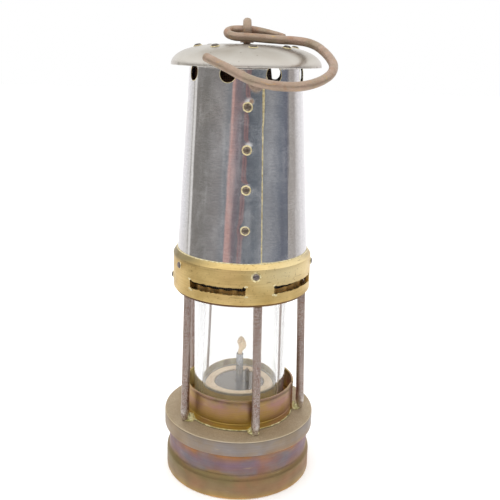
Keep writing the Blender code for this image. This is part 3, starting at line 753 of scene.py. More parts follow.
def cotton(name, color, dark):
    """Woven cotton: twisted strands, scorched in places."""
    finish = Finish(name, color, 0.95, 0)
    strands = finish.cloud(1, 3, (2400, 2400, 500), 0.6)
    finish.tint(dark, strands, 0.42, 0.64, 0.65)
    finish.tint((140, 104, 78), finish.cloud(500, 4), 0.58, 0.72, 0.45)
    finish.inputs["Subsurface Weight"].default_value = 0.08
    finish.inputs["Subsurface Radius"].default_value = (0.001, 0.0006, 0.0004)
    finish.bump(strands, 0.00012)
    return finish.done()


def clear_glass():
    """Thick lamp glass with faint smears and the slightest waviness."""
    finish = Finish("clear_glass_cylinder", (0.965, 0.97, 0.965, 1), 0, 0)
    finish.inputs["Transmission Weight"].default_value = 0.94
    finish.inputs["IOR"].default_value = 1.47
    finish.roughness(finish.cloud(60, 4, (1, 1, 0.4)), 0.45, 0.8, 0, 0.035)
    finish.bump(finish.cloud(45, 2), 0.00003)
    return finish.material


def woven_gauze(name, dark, color, shine):
    """Iron wire gauze: crossed wires, with painted shade in the gaps between them."""
    finish = Finish(name, color, 0.5, 0.6)
    turn = finish.add("TexGradient", "Fac", {0: finish.at}, gradient_type="RADIAL")
    upright = finish.math("SINE", finish.math("MULTIPLY", turn, 2 * pi * 160))
    level = finish.math("SINE", finish.math("MULTIPLY", finish.height(), 2 * pi / 0.0009))
    wires = finish.math("MAXIMUM", upright, level)
    # The dark stop is painted shade where the gaps would show the dark inside.
    finish.base = finish.ramp(finish.level(wires, 0, 0.9), [(0, dark), (0.5, color), (1, shine)])
    finish.bump(wires, 0.00012)
    return finish.done()


def verdigris():
    """Old solder and flux at the pillars' feet: pale yellow-green, lumpy and dull."""
    finish = Finish("aged_brass_verdigris", (206, 202, 142), 0.45, 0.35)
    lumps = finish.cloud(420, 5)
    finish.base = finish.mix(finish.level(lumps, 0.4, 0.62), (226, 220, 172), (168, 160, 104))
    finish.tint((88, 76, 44), finish.cloud(260, 4), 0.58, 0.7, 0.7)
    finish.bump(lumps, 0.0002)
    return finish.done()


def solder():
    """Pale gold solder along the seam and around the rivets."""
    finish = Finish("bright_brass_solder", (232, 218, 170), 0.36, 0.6)
    lumps = finish.cloud(800, 4)
    finish.base = finish.mix(finish.level(lumps, 0.4, 0.68), (240, 228, 184), (190, 170, 118))
    finish.bump(lumps, 0.00005)
    return finish.done()


def rivet_head(name, color, dark):
    """Filed rivet and screw heads: brown-grey, mottled darker."""
    finish = Finish(name, color, 0.38)
    mottle = finish.cloud(900, 4)
    finish.tint(dark, mottle, 0.4, 0.66)
    finish.roughness(mottle, 0.3, 0.7, 0.28, 0.5)
    finish.bump(mottle, 0.00004)
    return finish.done()


# The stop at 0.55 is a painted highlight along the top of the band.
VESSEL_BRASS = brass_with_tints_and_reflections("aged_brass_vessel", VESSEL_BOTTOM, SHOULDER_Z, [
    (0, (210, 164, 104)), (0.05, (176, 148, 100)), (0.16, (158, 134, 102)),
    (0.28, (152, 132, 100)), (0.4, (148, 132, 94)), (0.5, (148, 130, 90)),
    (0.55, (164, 136, 98)), (0.61, (156, 126, 112)), (0.74, (148, 124, 132)),
    (0.86, (160, 128, 118)), (0.94, (190, 138, 92)), (1, (166, 122, 78))],
    [((172, 122, 94), 0.6, 0), ((142, 118, 138), 0.6, BAND_TOP + 0.0014),
     ((134, 138, 146), 0.55, BAND_TOP + 0.0014)], 0.5)
BASE_BRASS = brass_with_tints_and_reflections("aged_brass_base_ring", FLANGE_BOTTOM, FLANGE_TOP, [
    (0, (166, 134, 104)), (0.1, (158, 136, 116)), (0.4, (158, 144, 132)),
    (0.75, (160, 144, 126)), (1, (166, 150, 128))],
    [((150, 150, 158), 0.65, 0), ((166, 142, 108), 0.55, 0)], 0.4, dull_top_and_edge_highlight)
CUP_BRASS = brass_with_tints_and_reflections("aged_brass_cup", CUP_FOOT, CUP_TOP, [
    (0, (182, 154, 88)), (0.1, (208, 172, 84)), (0.22, (176, 148, 76)),
    (0.34, (186, 152, 88)), (0.5, (186, 148, 108)), (0.7, (180, 142, 124)),
    (0.84, (168, 142, 114)), (0.91, (136, 114, 90)), (1, (172, 152, 120))],
    [((184, 136, 142), 0.85, 0), ((188, 154, 80), 0.8, 0)], 0.42, inside_cup)
RING_BRASS = bright_brass("bright_brass_ring", (236, 208, 144), (182, 152, 88), 0.34, [
    # The first patch darkens the chamfer at the left, painted shade; the third is a painted highlight low
    # on the right.
    (around(-68, RING_RADIUS, RING_TOP - 0.0008), (1, 1, 9), 0.034, (150, 136, 98), 1.7),
    (around(66, RING_RADIUS, RING_TOP - 0.0008), (1, 1, 9), 0.024, (176, 160, 128), 1.3),
    (around(46, RING_RADIUS, RING_TOP - 0.006), (1, 1, 3), 0.03, (255, 236, 184), 1.2)])
SEAT_BRASS = bright_brass("bright_brass_seat", (204, 160, 84), (150, 104, 44), 0.34)
BAFFLE_BRASS = bright_brass("bright_brass_baffle", (252, 216, 146), (160, 126, 76), 0.5)
DULL_BRASS = bright_brass("aged_brass_plate", (134, 106, 84), (92, 70, 56), 0.42)
STEEL = polished_steel()
NICKEL = satin_nickel()
WIRE = rusty_wire()
PILLAR_STEEL = pillar_steel()
DISC_METAL = grey_metal("grey_metal_disc", (106, 96, 84), 0.14)
CAP_METAL = grey_metal("grey_metal_cap", (170, 160, 140), 0.4, gilded_skirt)
TUBE_METAL = grey_metal("grey_metal_tube", (176, 176, 178), 0.24)
OLIVE_TUBE = bright_brass("aged_brass_tube", (104, 92, 62), (62, 54, 34), 0.34)
TAN_FIBRE = fibre("fibre_tan", (228, 206, 174), (198, 172, 136))
OLIVE_FIBRE = fibre("fibre_olive", (196, 182, 132), (140, 126, 78))
DARK_FIBRE = fibre("fibre_dark", (112, 86, 62), (70, 52, 36))
WICK_COTTON = cotton("cotton_wick", (252, 230, 196), (226, 192, 150))
WADDING = cotton("cotton_wadding", (206, 178, 132), (160, 128, 84))
GLASS = clear_glass()
GAUZE = woven_gauze("grey_metal_gauze", (22, 20, 18), (70, 66, 62), (140, 132, 124))
CAP_GAUZE = woven_gauze("rusty_steel_gauze", (20, 14, 12), (66, 44, 34), (128, 92, 72))
CRUST = verdigris()
SOLDER = solder()
BROWN_HEAD = rivet_head("bright_brass_rivet_head", (150, 138, 126), (112, 98, 84))
DOME_HEAD = rivet_head("bright_brass_dome_rivet", (120, 112, 104), (84, 78, 72))
DARK_HEAD = rivet_head("rusty_steel_screw_head", (142, 132, 130), (96, 88, 86))


# ---- fuel vessel and burner -----------------------------------------------------------------------
def dents(amount, size, seed=0):
    """A warp that dents a turned wall very slightly."""
    def warp(angle, radius, height):
        return radius + amount * grain(around(angle, radius, height), size, seed), height
    return warp


def thread_warp(angle, radius, height):
    """The screw thread on the vessel's spigot, and faint dents below it."""
    if SHOULDER_Z + 0.0006 < height < SPIGOT_TOP - 0.0004 and abs(radius - SPIGOT_RADIUS) < 0.0002:
        phase = height / THREAD_PITCH - angle / 360
        return radius - THREAD_DEPTH / 2 * (1 - cos(2 * pi * phase)), height
    return dents(0.00005, 0.012)(angle, radius, height)


def build_vessel():
    """The vessel's turned wall with its threaded spigot, and the knob's pocket below."""
    floor = 0.0015
    under_spigot = SPIGOT_TOP - VESSEL_WALL
    neck = rounded([(NECK_RADIUS, NECK_TOP), (NECK_RADIUS, SPIGOT_TOP),
                    (SPIGOT_RADIUS, SPIGOT_TOP)], 0.0004)[3:]
    thread = [(SPIGOT_RADIUS, SPIGOT_TOP - 0.0005 - k * 0.0002) for k in range(28)]
    below = rounded([
        (SPIGOT_RADIUS, SHOULDER_Z, 0), (WAIST_RADIUS, SHOULDER_Z, 0.0006),
        (WAIST_RADIUS, BAND_TOP + 0.0014, 0.0007), (VESSEL_RADIUS, BAND_TOP - 0.0012, 0.0012),
        (VESSEL_RADIUS, 0, 0.001)], 0.0004, 5)
    inside = [
        (VESSEL_RADIUS - 0.009, 0), (0.0002, 0), (0.0002, floor),
        (VESSEL_RADIUS - VESSEL_WALL, floor), (VESSEL_RADIUS - VESSEL_WALL, BAND_TOP - VESSEL_WALL),
        (WAIST_RADIUS - VESSEL_WALL, BAND_TOP), (WAIST_RADIUS - VESSEL_WALL, SHOULDER_Z - VESSEL_WALL),
        (SPIGOT_RADIUS - 0.0018, SHOULDER_Z), (SPIGOT_RADIUS - 0.0018, under_spigot),
        (NECK_RADIUS - VESSEL_WALL, under_spigot), (NECK_RADIUS - VESSEL_WALL, NECK_TOP)]
    outline = [Vector(point) for point in neck + thread + below + inside]
    vessel = turned("vessel_wall", outline, VESSEL_BRASS, warp=thread_warp, longest=0.0035)
    cut(vessel, moved(rod("pocket_wall", 0.0048, 0.0004, 0.022), PRICKER_SHIFT), "UNION")
    cut(vessel, moved(rod("pocket_bore", 0.0036, -0.001, 0.0205), PRICKER_SHIFT))
    cut(vessel, moved(rod("pocket_hole", 0.0011, 0.018, 0.024), PRICKER_SHIFT))
    place(vessel, "vessel", "aged_brass", "fuel_vessel")


def build_burner():
    """The cap over the neck, its tan sealing ring and dark centre disc, and the two tubes."""
    rim = CAP_RADIUS - 0.0009
    over_neck = NECK_RADIUS + 0.0003
    hole = 0.0025
    cap = turned("burner_cap_shell", [
        (rim, CAP_TOP, 0.0003), (CAP_RADIUS, CAP_TOP, 0.0004), (CAP_RADIUS, 0.049),
        (over_neck, 0.049), (over_neck, 0.0531), (hole, 0.0531), (hole, BURNER_TOP),
        (rim, BURNER_TOP)], CAP_METAL, warp=dents(0.00006, 0.006), edge=0.0002)
    seal = turned("burner_seal", ring(0.0148, 0.0197, BURNER_TOP + 0.0003, 0.0554), TAN_FIBRE,
                  warp=dents(0.0001, 0.004), edge=0.0003)
    centre = turned("burner_disc", ring(hole, 0.0144, BURNER_TOP + 0.0003, 0.0549), DISC_METAL,
                    edge=0.0002)
    for piece in (cap, centre):
        cut(piece, moved(rod("tube_bore", 0.0016, 0.05, 0.06), PRICKER_SHIFT))
    place(cap, "vessel", "grey_metal", "burner_cap")
    place(seal, "vessel", "fibre", "burner_sealing_ring")
    place(centre, "vessel", "grey_metal", "burner_centre_disc")
    for name, inner, finish, slot in (("wick_tube", 0.0018, TUBE_METAL, "grey_metal"),
                                      ("pricker_tube", 0.00095, OLIVE_TUBE, "aged_brass")):
        low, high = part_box(name)
        outline = ring(inner, (high[1] - low[1]) / 2, low[2], high[2])
        tube = turned(name + "_wall", outline, finish, SMALL_STEPS, edge=0.00015)
        moved(tube, Matrix.Translation(((low[0] + high[0]) / 2, 0, 0)))
        place(tube, "vessel", slot, name)


def build_wick():
    """The cotton wick: twisted strands, straight in the tube and frayed where it curls over."""
    points = [Vector((side, 0, height)) * MILLIMETRE for side, height in WICK_STRAIGHT + WICK_CURLED]
    per_span = 8
    route = smooth_route(points, per_span)
    start = per_span * (len(WICK_STRAIGHT) - 1)
    radii = []
    for i in range(len(route)):
        share = max(i - start, 0) / (len(route) - 1 - start)
        swell = 0.75 * ease(0.26, 0.56, share) - 0.25 * ease(0.8, 1, share)
        radii.append(WICK_RADIUS * (1 + swell))

    def strands(share, turn):
        twist = 7 * turn + 160 * share
        lumps = grain((share * 60, cos(turn), sin(turn)))
        frayed = ease(0.8, 0.88, share) * grain((share * 26, cos(turn), sin(turn)))
        return 0.9 + 0.07 * cos(twist) + 0.2 * lumps + 0.4 * frayed
    wick = swept("wick_strands", route, radii, WICK_COTTON, 42, 0.001, shape=strands)
    place(wick, "wick", "cotton", "wick")


def build_pricker():
    """The pricker's knurled knob under the vessel."""
    low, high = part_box("pricker_knob")
    knob_radius = (high[1] - low[1]) / 2

    def knurled(angle, radius, height):
        if radius > knob_radius - 0.0003:
            radius -= 0.00012 * (1 + cos(radians(angle) * 20))
        return radius, height
    knob = turned("pricker_knob_grip", ring(0.0008, knob_radius, low[2], high[2]), SEAT_BRASS, 160,
                  knurled, 0.0004, 0.0005)
    place(moved(knob, PRICKER_SHIFT), "pricker", "bright_brass", "pricker_knob")


# ---- frame: base ring, cup, pillars and glass -----------------------------------------------------
def build_base():
    """The turned base ring that screws onto the vessel."""
    bore, spigot_bore, skirt_bore = 0.024, SPIGOT_RADIUS + 0.0004, 0.0413
    step, recess_top = FLANGE_BOTTOM + 0.0008, 0.0349
    base = turned("base_ring", divided(rounded([
        (bore, FLANGE_TOP), (FLANGE_RADIUS, FLANGE_TOP, 0.001),
        (FLANGE_RADIUS, FLANGE_BOTTOM, 0.0008), (skirt_bore, FLANGE_BOTTOM), (skirt_bore, step),
        (spigot_bore, step), (spigot_bore, recess_top), (bore, recess_top)], 0.0003, 5), 0.0035),
        BASE_BRASS, warp=dents(0.00006, 0.01, 3))
    place(base, "frame", "aged_brass", "frame_base_ring")


def cup_warp(angle, radius, height):
    """The cup's split: its back end stands out, and the front end's lip is curled outwards."""
    stand_out = 0.0007 * (1 - ease(SLIT_ANGLE, SLIT_ANGLE + 60, angle))
    curl = (0.0006 * ease(SLIT_ANGLE + 354.5, SLIT_ANGLE + 360, angle)
            * ease(CUP_TOP - 0.0035, CUP_TOP, height))
    dent = 0.00009 * grain(around(angle, radius, height), 0.009, 7)
    return radius + stand_out + curl + dent, height


def build_cup():
    """The sheet-brass cup around the glass, split at the right."""
    inside = CUP_RADIUS - 0.0009
    cup = turned("cup_wall", [
        (inside, CUP_TOP, 0.0002), (CUP_RADIUS + 0.0002, CUP_TOP, 0.0003),
        (CUP_RADIUS + 0.0002, CUP_TOP - 0.0009), (CUP_RADIUS - 0.0001, CUP_TOP - 0.0012),
        (CUP_RADIUS - 0.0001, CUP_TOP - 0.0015), (CUP_RADIUS, CUP_TOP - 0.0018),
        (CUP_RADIUS, CUP_FOOT + 0.004), (CUP_RADIUS - 0.00025, CUP_FOOT + 0.0036),
        (CUP_RADIUS, CUP_FOOT + 0.0032), (CUP_RADIUS + 0.0002, CUP_FOOT + 0.0006),
        (CUP_RADIUS + 0.0005, CUP_FOOT), (0.025, CUP_FOOT), (0.025, CUP_FOOT + 0.0012),
        (inside, CUP_FOOT + 0.0012)], CUP_BRASS, 240, cup_warp, 0.0002, 0.0012,
        SLIT_ANGLE + SLIT_WIDTH / 2, 360 - SLIT_WIDTH)
    place(cup, "frame", "aged_brass", "glass_cup")


def build_rings():
    """The seat, the gaskets, the thick glass with its ground ends, and the plate above it."""
    soft = dents(0.0001, 0.003)
    for name, node, slot, finish, inner, edge, warp in (
            ("seat_ring", "glass_seat_ring", "bright_brass", SEAT_BRASS, 0.0213, 0.0004, None),
            ("lower_glass_gasket_ring", "lower_glass_gasket", "fibre", OLIVE_FIBRE, 0.0218, 0.0002, soft),
            ("upper_glass_gasket_ring", "upper_glass_gasket", "fibre", DARK_FIBRE, GLASS_INNER, 0.0002,
             soft),
            ("glass_tube", "glass_cylinder", "clear_glass", GLASS, GLASS_INNER, 0.0005, None),
            ("pillar_plate", "upper_plate", "aged_brass", DULL_BRASS, GLASS_INNER, 0.0003, None)):
        steps = GLASS_STEPS if finish == GLASS else FINE_STEPS
        piece = turned(name, ring(inner, *turned_size(node)), finish, steps, warp, edge)
        if finish == GLASS:
            piece.visible_shadow = False
            piece.visible_diffuse = False
            piece.visible_glossy = False
        place(piece, "frame", slot, node)


def end_centre(node, at_top):
    """The middle of a leaning rod's top or bottom end, from its CAD mesh."""
    points = [vertex.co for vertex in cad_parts[node].data.vertices]
    heights = [point.z for point in points]
    edge = max(heights) if at_top else min(heights)
    chosen = [point for point in points if abs(point.z - edge) < 0.001]
    return sum(chosen, Vector()) / len(chosen)


def build_pillars():
    """The five pillars, with hammered, narrowed feet and lumps of old solder beside them."""
    rows = 64
    for i in range(5):
        foot = end_centre(f"pillar_{i + 1}", False)
        top = end_centre(f"pillar_{i + 1}", True)
        radii = []
        for k in range(rows + 1):
            away = (top - foot).length * k / rows
            swell = 0.0002 * bump_at(away - 0.006, 0.0035)
            radii.append(PILLAR_RADIUS + swell - 0.0006 * (1 - ease(0, 0.0045, away)))

        def hammered(share, turn, seed=i * 3.1):
            facet = 0.05 * (1 - ease(0, 0.16, share)) * cos(4 * turn)
            return 1 + facet + 0.02 * grain((share * 60, cos(turn), seed))
        pillar = swept(f"pillar_rod_{i + 1}", [foot.lerp(top, k / rows) for k in range(rows + 1)],
                       radii, PILLAR_STEEL, 28, 0.0005, shape=hammered)
        place(pillar, "frame", "rusty_steel", f"pillar_{i + 1}")
        build_foot_solder(i, foot)


def build_foot_solder(index, foot):
    """A lumpy fillet of solder from a pillar's foot to the cup's wall."""
    angle = degrees(atan2(foot.x, -foot.y))
    reach = foot.xy.length - CUP_RADIUS

    def fillet(point):
        wide = 0.0033 + 0.001 * noise.noise(point * 1.3 + Vector((index * 5, 0, 0)))
        tall = 0.0008 if point.y < 0 else 0.0008 + 0.0026 * bump_at(point.x, 0.8)
        lift = 0.00035 * noise.noise(point * 3.5 + Vector((0, 0, index)))
        return Vector((point.x * wide, point.y * reach * 0.72, max(point.z, -0.1) * tall + lift))
    lump = crumb(f"foot_solder_{index + 1}", 5, fillet, CRUST)
    at = around(angle, CUP_RADIUS + reach * 0.42, FLANGE_TOP + 0.0002)
    place(moved(lump, turned_to(angle, at)), "frame", "aged_brass")


def build_foot_bead():
    """The uneven line of flux and verdigris round the cup's foot."""
    def centre_at(angle):
        wander = grain(around(angle, 0.03, 0), 0.004, 2)
        return around(angle, CUP_RADIUS + 0.0006 + 0.0003 * wander, CUP_FOOT + 0.0002)

    def radius_at(angle):
        return 0.00028 + 0.00024 * grain(around(angle, 0.03, 0), 0.0022, 9)
    place(hoop("cup_foot_bead", 320, centre_at, radius_at, CRUST), "frame", "aged_brass")


# ---- vent ring ------------------------------------------------------------------------------------
def slot_tool(index, middle_angle):
    """A ragged cutter for one air slot: its long edges wander like a hand-sawn slot's."""
    steps = 40
    loops = []
    for k in range(steps + 1):
        angle = middle_angle + SLOT_HALF_WIDTH * (2 * k / steps - 1)
        mark = around(angle, 0.04, index * 0.01)
        low = SLOT_Z - SLOT_HALF_HEIGHT + 0.00052 * grain(mark, 0.0014, 1)
        high = SLOT_Z + SLOT_HALF_HEIGHT + 0.00036 * grain(mark, 0.0018, 5)
        corners = ((0.036, low), (0.042, low), (0.042, high), (0.036, high))
        loops.append([around(angle, *corner) for corner in corners])
    return lofted("slot_tool", loops, None, closed=False)


def burr(angle, height, seed):
    """A small torn crumb of brass on the ring's face."""
    def torn(point):
        ragged = 1 + 0.7 * noise.noise(point * 1.8 + Vector((seed, 0, seed)))
        return Vector((point.x * 1.3, point.y * 0.35, point.z * 0.8)) * (BURR_SIZE * ragged)
    piece = crumb("burr", 3, torn, SOLDER)
    return moved(piece, turned_to(angle, around(angle, RING_RADIUS, height)))


def build_vent_ring():
    """The ring with its ragged air slots, bright burrs at their corners and the chamfered top."""
    inner, lip_inner = 0.0376, 0.03725
    vent_ring = turned("vent_ring_wall", [
        (lip_inner, RING_TOP, 0.0001), (RING_RADIUS, RING_CHAMFER_Z, 0.0002),
        (RING_RADIUS, RING_BOTTOM, 0.0003), (inner, RING_BOTTOM), (inner, RING_CHAMFER_Z - 0.0006),
        (lip_inner, RING_CHAMFER_Z)], RING_BRASS, 240, dents(0.00005, 0.008, 4), 0.0002, 0.0018)
    burrs = []
    for i, middle_angle in enumerate(SLOT_ANGLES):
        cut(vent_ring, slot_tool(i, middle_angle))
        for side, share, size in ((-1, 1, 0.0009), (-1, -1, 0.0008), (1, 1, 0.001)):
            height = SLOT_Z + share * (SLOT_HALF_HEIGHT - 0.0002)
            corner = facing_out(middle_angle + side * (SLOT_HALF_WIDTH - 1), RING_RADIUS, height)
            cut(vent_ring, moved(rod("corner_drill", size, -0.003, 0.003, 20), corner))
        for side, share in ((-1, 1.5), (-1, -1.2), (1, 1.45), (1, -1.35), (-0.93, -1.45)):
            angle = middle_angle + side * (SLOT_HALF_WIDTH + 0.4)
            burrs.append(burr(angle, SLOT_Z + share * SLOT_HALF_HEIGHT, i * 7 + share))
    place(vent_ring, "frame", "bright_brass", "vent_ring")
    place(joined("slot_burrs", burrs), "frame", "bright_brass")


def build_baffle():
    """The scalloped strip behind the air slots, with a wavy upper edge."""
    low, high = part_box("air_baffle")
    folds = 30
    count = 12 * folds
    middle_radius, depth, half_wall = 0.0345, 0.0008, 0.00025
    shares = [row / 5 for row in range(6)]
    loops = []
    for k in range(count):
        angle = 360 * k / count
        wave = cos(radians(angle) * folds)
        radius = middle_radius + depth * wave
        tall = high[2] - 0.001 * (0.5 - 0.5 * wave) - low[2]
        loop = [(radius + half_wall, share) for share in shares]
        loop += [(radius - half_wall, share) for share in reversed(shares)]
        loops.append([around(angle + 90, reach, low[2] + tall * share) for reach, share in loop])
    baffle = lofted("baffle_strip", loops, BAFFLE_BRASS, crease=50)
    place(baffle, "frame", "bright_brass", "air_baffle")


def build_slot_shade_ring():
    """A dark ring behind the air slots, a sheet that stands in for the shade inside the lamp there; it
    wears the gauze finish.
    """
    outline = ring(0.0318, 0.0324, PLATE_TOP - 0.0002, SLOT_Z + 0.007)
    place(turned("slot_shade_ring", outline, GAUZE, 120, longest=0.003), "frame", "grey_metal")


def headed(name, radius, rise, halo, finish, matrix, shank=0.0016):
    """A rivet or screw: a low head in one finish, in a pale ring of solder."""
    def uneven(angle, distance, height):
        turn = radians(angle)
        return distance * (1 + 0.05 * grain((cos(turn) * 2, sin(turn) * 2, rise * 900))), height
    head = turned("head", [
        (0, rise), (radius * 0.62, rise, 0.0003), (radius, rise * 0.45, 0.0002),
        (radius, -0.0001), (0.001, -0.0001), (0.001, -shank), (0, -shank)],
        finish, SMALL_STEPS, edge=0.0002)
    inner = radius + 0.00005
    collar = turned("collar", [
        (inner, 0.00034), (radius + halo, 0.00014), (radius + halo, -0.0003), (inner, -0.0003)],
        SOLDER, SMALL_STEPS, uneven, 0.00008)
    return moved(joined(name, [head, collar]), matrix)


def build_ring_screws():
    """The five screws above the slots, and the stud at the left."""
    for name, node, radius, shank in [
            *((f"ring_screw_cap_{i}", f"ring_screw_{i}", 0.0018, 0.0034) for i in range(1, 6)),
            ("lock_stud_cap", "lock_stud", 0.0017, 0.002)]:
        centre, angle = middle(node)
        halo = 0.0003
        if node == "lock_stud":
            halo = 0.0004
        elif abs(angle) < 40:
            halo = 0.001
        matrix = facing_out(angle, RING_RADIUS, centre.z)
        place(headed(name, radius, 0.001, halo, DARK_HEAD, matrix, shank), "frame", "rusty_steel", node)


# ---- bonnet, gauzes and dome ----------------------------------------------------------------------
def up_bonnet(height):
    """A height as a share of the bonnet's taper."""
    return (height - BONNET_FOOT) / (BONNET_TOP - BONNET_FOOT)


def bonnet_radius(height):
    """Outer radius of the tapered bonnet at a height."""
    return BONNET_FOOT_RADIUS + up_bonnet(height) * (BONNET_TOP_RADIUS - BONNET_FOOT_RADIUS)


def lap_height(angle, height):
    """How far the lapped sheet stands out: it rises slowly from the left and ends at the seam."""
    rise_from = -15 + 7 * up_bonnet(height)
    if angle > SEAM_ANGLE or angle < rise_from:
        return 0
    return LAP_THICKNESS * ease(rise_from, rise_from + 16, angle)


def bonnet_warp(angle, radius, height):
    """The lap seam, the puckers around its rivets, and slight waves in the sheet."""
    if height > BONNET_TOP or radius < bonnet_radius(height) - 0.0004:
        return radius, height
    signed = (angle + 180) % 360 - 180
    offset = lap_height(signed, height)
    for (centre, rivet_angle), (aside, above, pucker) in zip(SEAM_RIVETS, RIVET_PUCKERS):
        across = radians(signed - rivet_angle) * radius - aside
        away = sqrt(across ** 2 + (height - centre.z - above) ** 2)
        offset += pucker * bump_at(away, 0.0026)
    low_right = (1 - ease(0.16, 0.188, height)) * bump_at(signed - WAVY_ANGLE, 9)
    offset += 0.00012 * low_right * cos(radians(signed - WAVY_ANGLE) * 38)
    waves = 0.00003 * grain(around(angle, radius, height * 0.35), 0.011, 6)
    ripples = 0.00001 * grain(around(angle, radius, height * 0.6), 0.0035, 3)
    return radius + offset + waves + ripples, height


def seam_steps():
    """Angles of the bonnet's columns: closer together over the lap, and closest at its edge."""
    coarse = [1.8 * k for k in range(200) if 20 < 1.8 * k < 344]
    fine = [0.6 * k - 16.2 for k in range(61)]
    fine = [angle % 360 for angle in fine if abs(angle - SEAM_ANGLE) > 0.3]
    return sorted(coarse + fine + [SEAM_ANGLE, SEAM_ANGLE + 0.12])


def build_bonnet():
    """The tapered sheet-steel bonnet with its lap seam and eight outlets."""
    flange_inner = 0.0235
    shoulder = BONNET_TOP_RADIUS - 0.0016
    outline = [(flange_inner, BONNET_CROWN), (shoulder, BONNET_CROWN),
               (BONNET_TOP_RADIUS - 0.0004, BONNET_CROWN - 0.0006)]
    height = BONNET_TOP
    while height > BONNET_FOOT + 0.0008:
        outline.append((bonnet_radius(height), height))
        height -= 0.0009
    outline += [(BONNET_FOOT_RADIUS, BONNET_FOOT), (BONNET_FOOT_RADIUS - BONNET_WALL, BONNET_FOOT)]
    outline += [(bonnet_radius(h) - BONNET_WALL, h) for h in (0.16, 0.19, 0.215, 0.2275, 0.2385)]
    outline += [(shoulder, BONNET_CROWN - BONNET_WALL - 0.0002),
                (flange_inner, BONNET_CROWN - BONNET_WALL)]
    bonnet = lofted("bonnet_sheet", [[around(angle, *bonnet_warp(angle, *point)) for point in outline]
                                     for angle in seam_steps()], STEEL)
    cut(bonnet, joined("outlet_tools", [
        moved(rod("outlet_tool", OUTLET_RADIUS, -0.004, 0.004, 64),
              facing_out(angle, bonnet_radius(OUTLET_Z), OUTLET_Z)) for angle in OUTLET_ANGLES]))
    place(bonnet, "frame", "polished_steel", "bonnet")


def build_outlet_edge_highlights():
    """A thin pale ring round each outlet, a painted highlight on the hole's edge."""
    edges = []
    for middle_angle in OUTLET_ANGLES:
        def centre_at(angle, middle_angle=middle_angle):
            height = OUTLET_Z + OUTLET_RADIUS * sin(radians(angle))
            across = OUTLET_RADIUS * cos(radians(angle)) / bonnet_radius(height)
            here = middle_angle + degrees(asin(across))
            radius, _ = bonnet_warp(here, bonnet_radius(height), height)
            return around(here, radius - 0.00006, height)
        edges.append(hoop("outlet_edge_highlight", 60, centre_at, lambda angle: 0.00016, SOLDER, 8))
    place(joined("outlet_edge_highlights", edges), "frame", "polished_steel")


def build_seam():
    """The line of solder down the lap's edge, and the fillet where the bonnet meets the ring."""
    route = []
    radii = []
    bottom, top, steps = RING_TOP - 0.0004, OUTLET_Z - 0.003, 90
    for k in range(steps + 1):
        height = bottom + (top - bottom) * k / steps
        angle = SEAM_ANGLE + 0.5 * ease(0.208, 0.211, height) + 0.12 * grain((0, 0, height), 0.006)
        route.append(around(angle, bonnet_radius(height) + LAP_THICKNESS * 0.55, height))
        wide = 0.00024 * ease(0.206, 0.22, height)
        radii.append(0.0004 + wide + 0.00016 * grain((height, 0, 0), 0.003, 4))
    place(swept("seam_line", route, radii, SOLDER, 10), "frame", "bright_brass")

    def centre_at(angle):
        return around(angle, bonnet_radius(RING_TOP) + 0.00025, RING_TOP + 0.00005)

    def radius_at(angle):
        return (0.00034 + 0.00004 * grain(around(angle, 0.04, 0), 0.004, 8)
                + 0.00026 * bump_at(angle - SEAM_ANGLE - 2, 3.5))
    place(hoop("bonnet_fillet", 300, centre_at, radius_at, SOLDER), "frame", "bright_brass")


def build_seam_rivets():
    """The four rivets of the lap seam."""
    lean = atan2(BONNET_FOOT_RADIUS - BONNET_TOP_RADIUS, BONNET_TOP - BONNET_FOOT)
    for i, (centre, angle) in enumerate(SEAM_RIVETS):
        radius, _ = bonnet_warp(angle, bonnet_radius(centre.z), centre.z)
        matrix = pointing(around(angle, radius, centre.z), around(angle, cos(lean), sin(lean)))
        rivet = headed(f"seam_rivet_cap_{i + 1}", 0.0018, 0.0008, 0.0008, BROWN_HEAD, matrix)
        place(rivet, "frame", "bright_brass", f"seam_rivet_{i + 1}")


def build_gauzes():
    """The two gauzes under the bonnet."""
    wall = 0.0006
    for node, crown_inset in (("inner_gauze", 0.0046), ("outer_gauze", 0.0045)):
        foot, bottom, top = turned_size(node)
        crown = foot - crown_inset
        gauze = turned(node + "_mesh", [
            (0, top), (crown, top, 0.001), (foot, bottom), (foot - wall, bottom),
            (crown - wall, top - wall, 0.0008), (0, top - wall)], GAUZE, 120, None, 0.0002, 0.006)
        place(gauze, "frame", "grey_metal", node)


def build_smoke_cap():
    """The rusty crown of the inner gauze, which fills the left half behind the outlets."""
    def crumpled(angle, radius, height):
        point = around(angle, radius, height)
        reach = radius * (1 + 0.014 * grain(point, 0.006, 4))
        return reach, height + 0.0003 * grain(point, 0.005)
    crown = turned("smoke_cap", [
        (0, 0.2384), (0.0206, 0.238, 0.0016), (0.0217, 0.2286), (0.0211, 0.2286),
        (0.02, 0.2374, 0.0012), (0, 0.2378)], CAP_GAUZE, 96, crumpled, 0.0003, 0.0016)
    to_the_left = Matrix.Translation((-0.0076, 0, 0))
    place(moved(crown, to_the_left), "frame", "rusty_steel")


def dome_height(radius):
    """Height of the dome's outer surface at a radius: a flat crown and a full, round shoulder."""
    share = min(radius / DOME_RADIUS, 1)
    return DOME_RIM_Z + DOME_RISE * sqrt(1 - share ** DOME_POWER)


def dome_normal(radius):
    """The outward direction of the dome's surface at a radius, as (outwards, up)."""
    outwards = DOME_POWER * (radius / DOME_RADIUS) ** (DOME_POWER - 1) / DOME_RADIUS
    up = 2 * (dome_height(radius) - DOME_RIM_Z) / DOME_RISE ** 2
    return Vector((outwards, up)).normalized()


def dome_warp(angle, radius, height):
    """Shallow waves in the spun dome, and small knocks along its rim."""
    point = around(angle, radius, 0)
    knocks = 0.00012 * grain(point, 0.0045, 11) * ease(0.036, DOME_RADIUS, radius)
    return radius - abs(knocks), height + 0.00008 * grain(point, 0.014, 2) + knocks


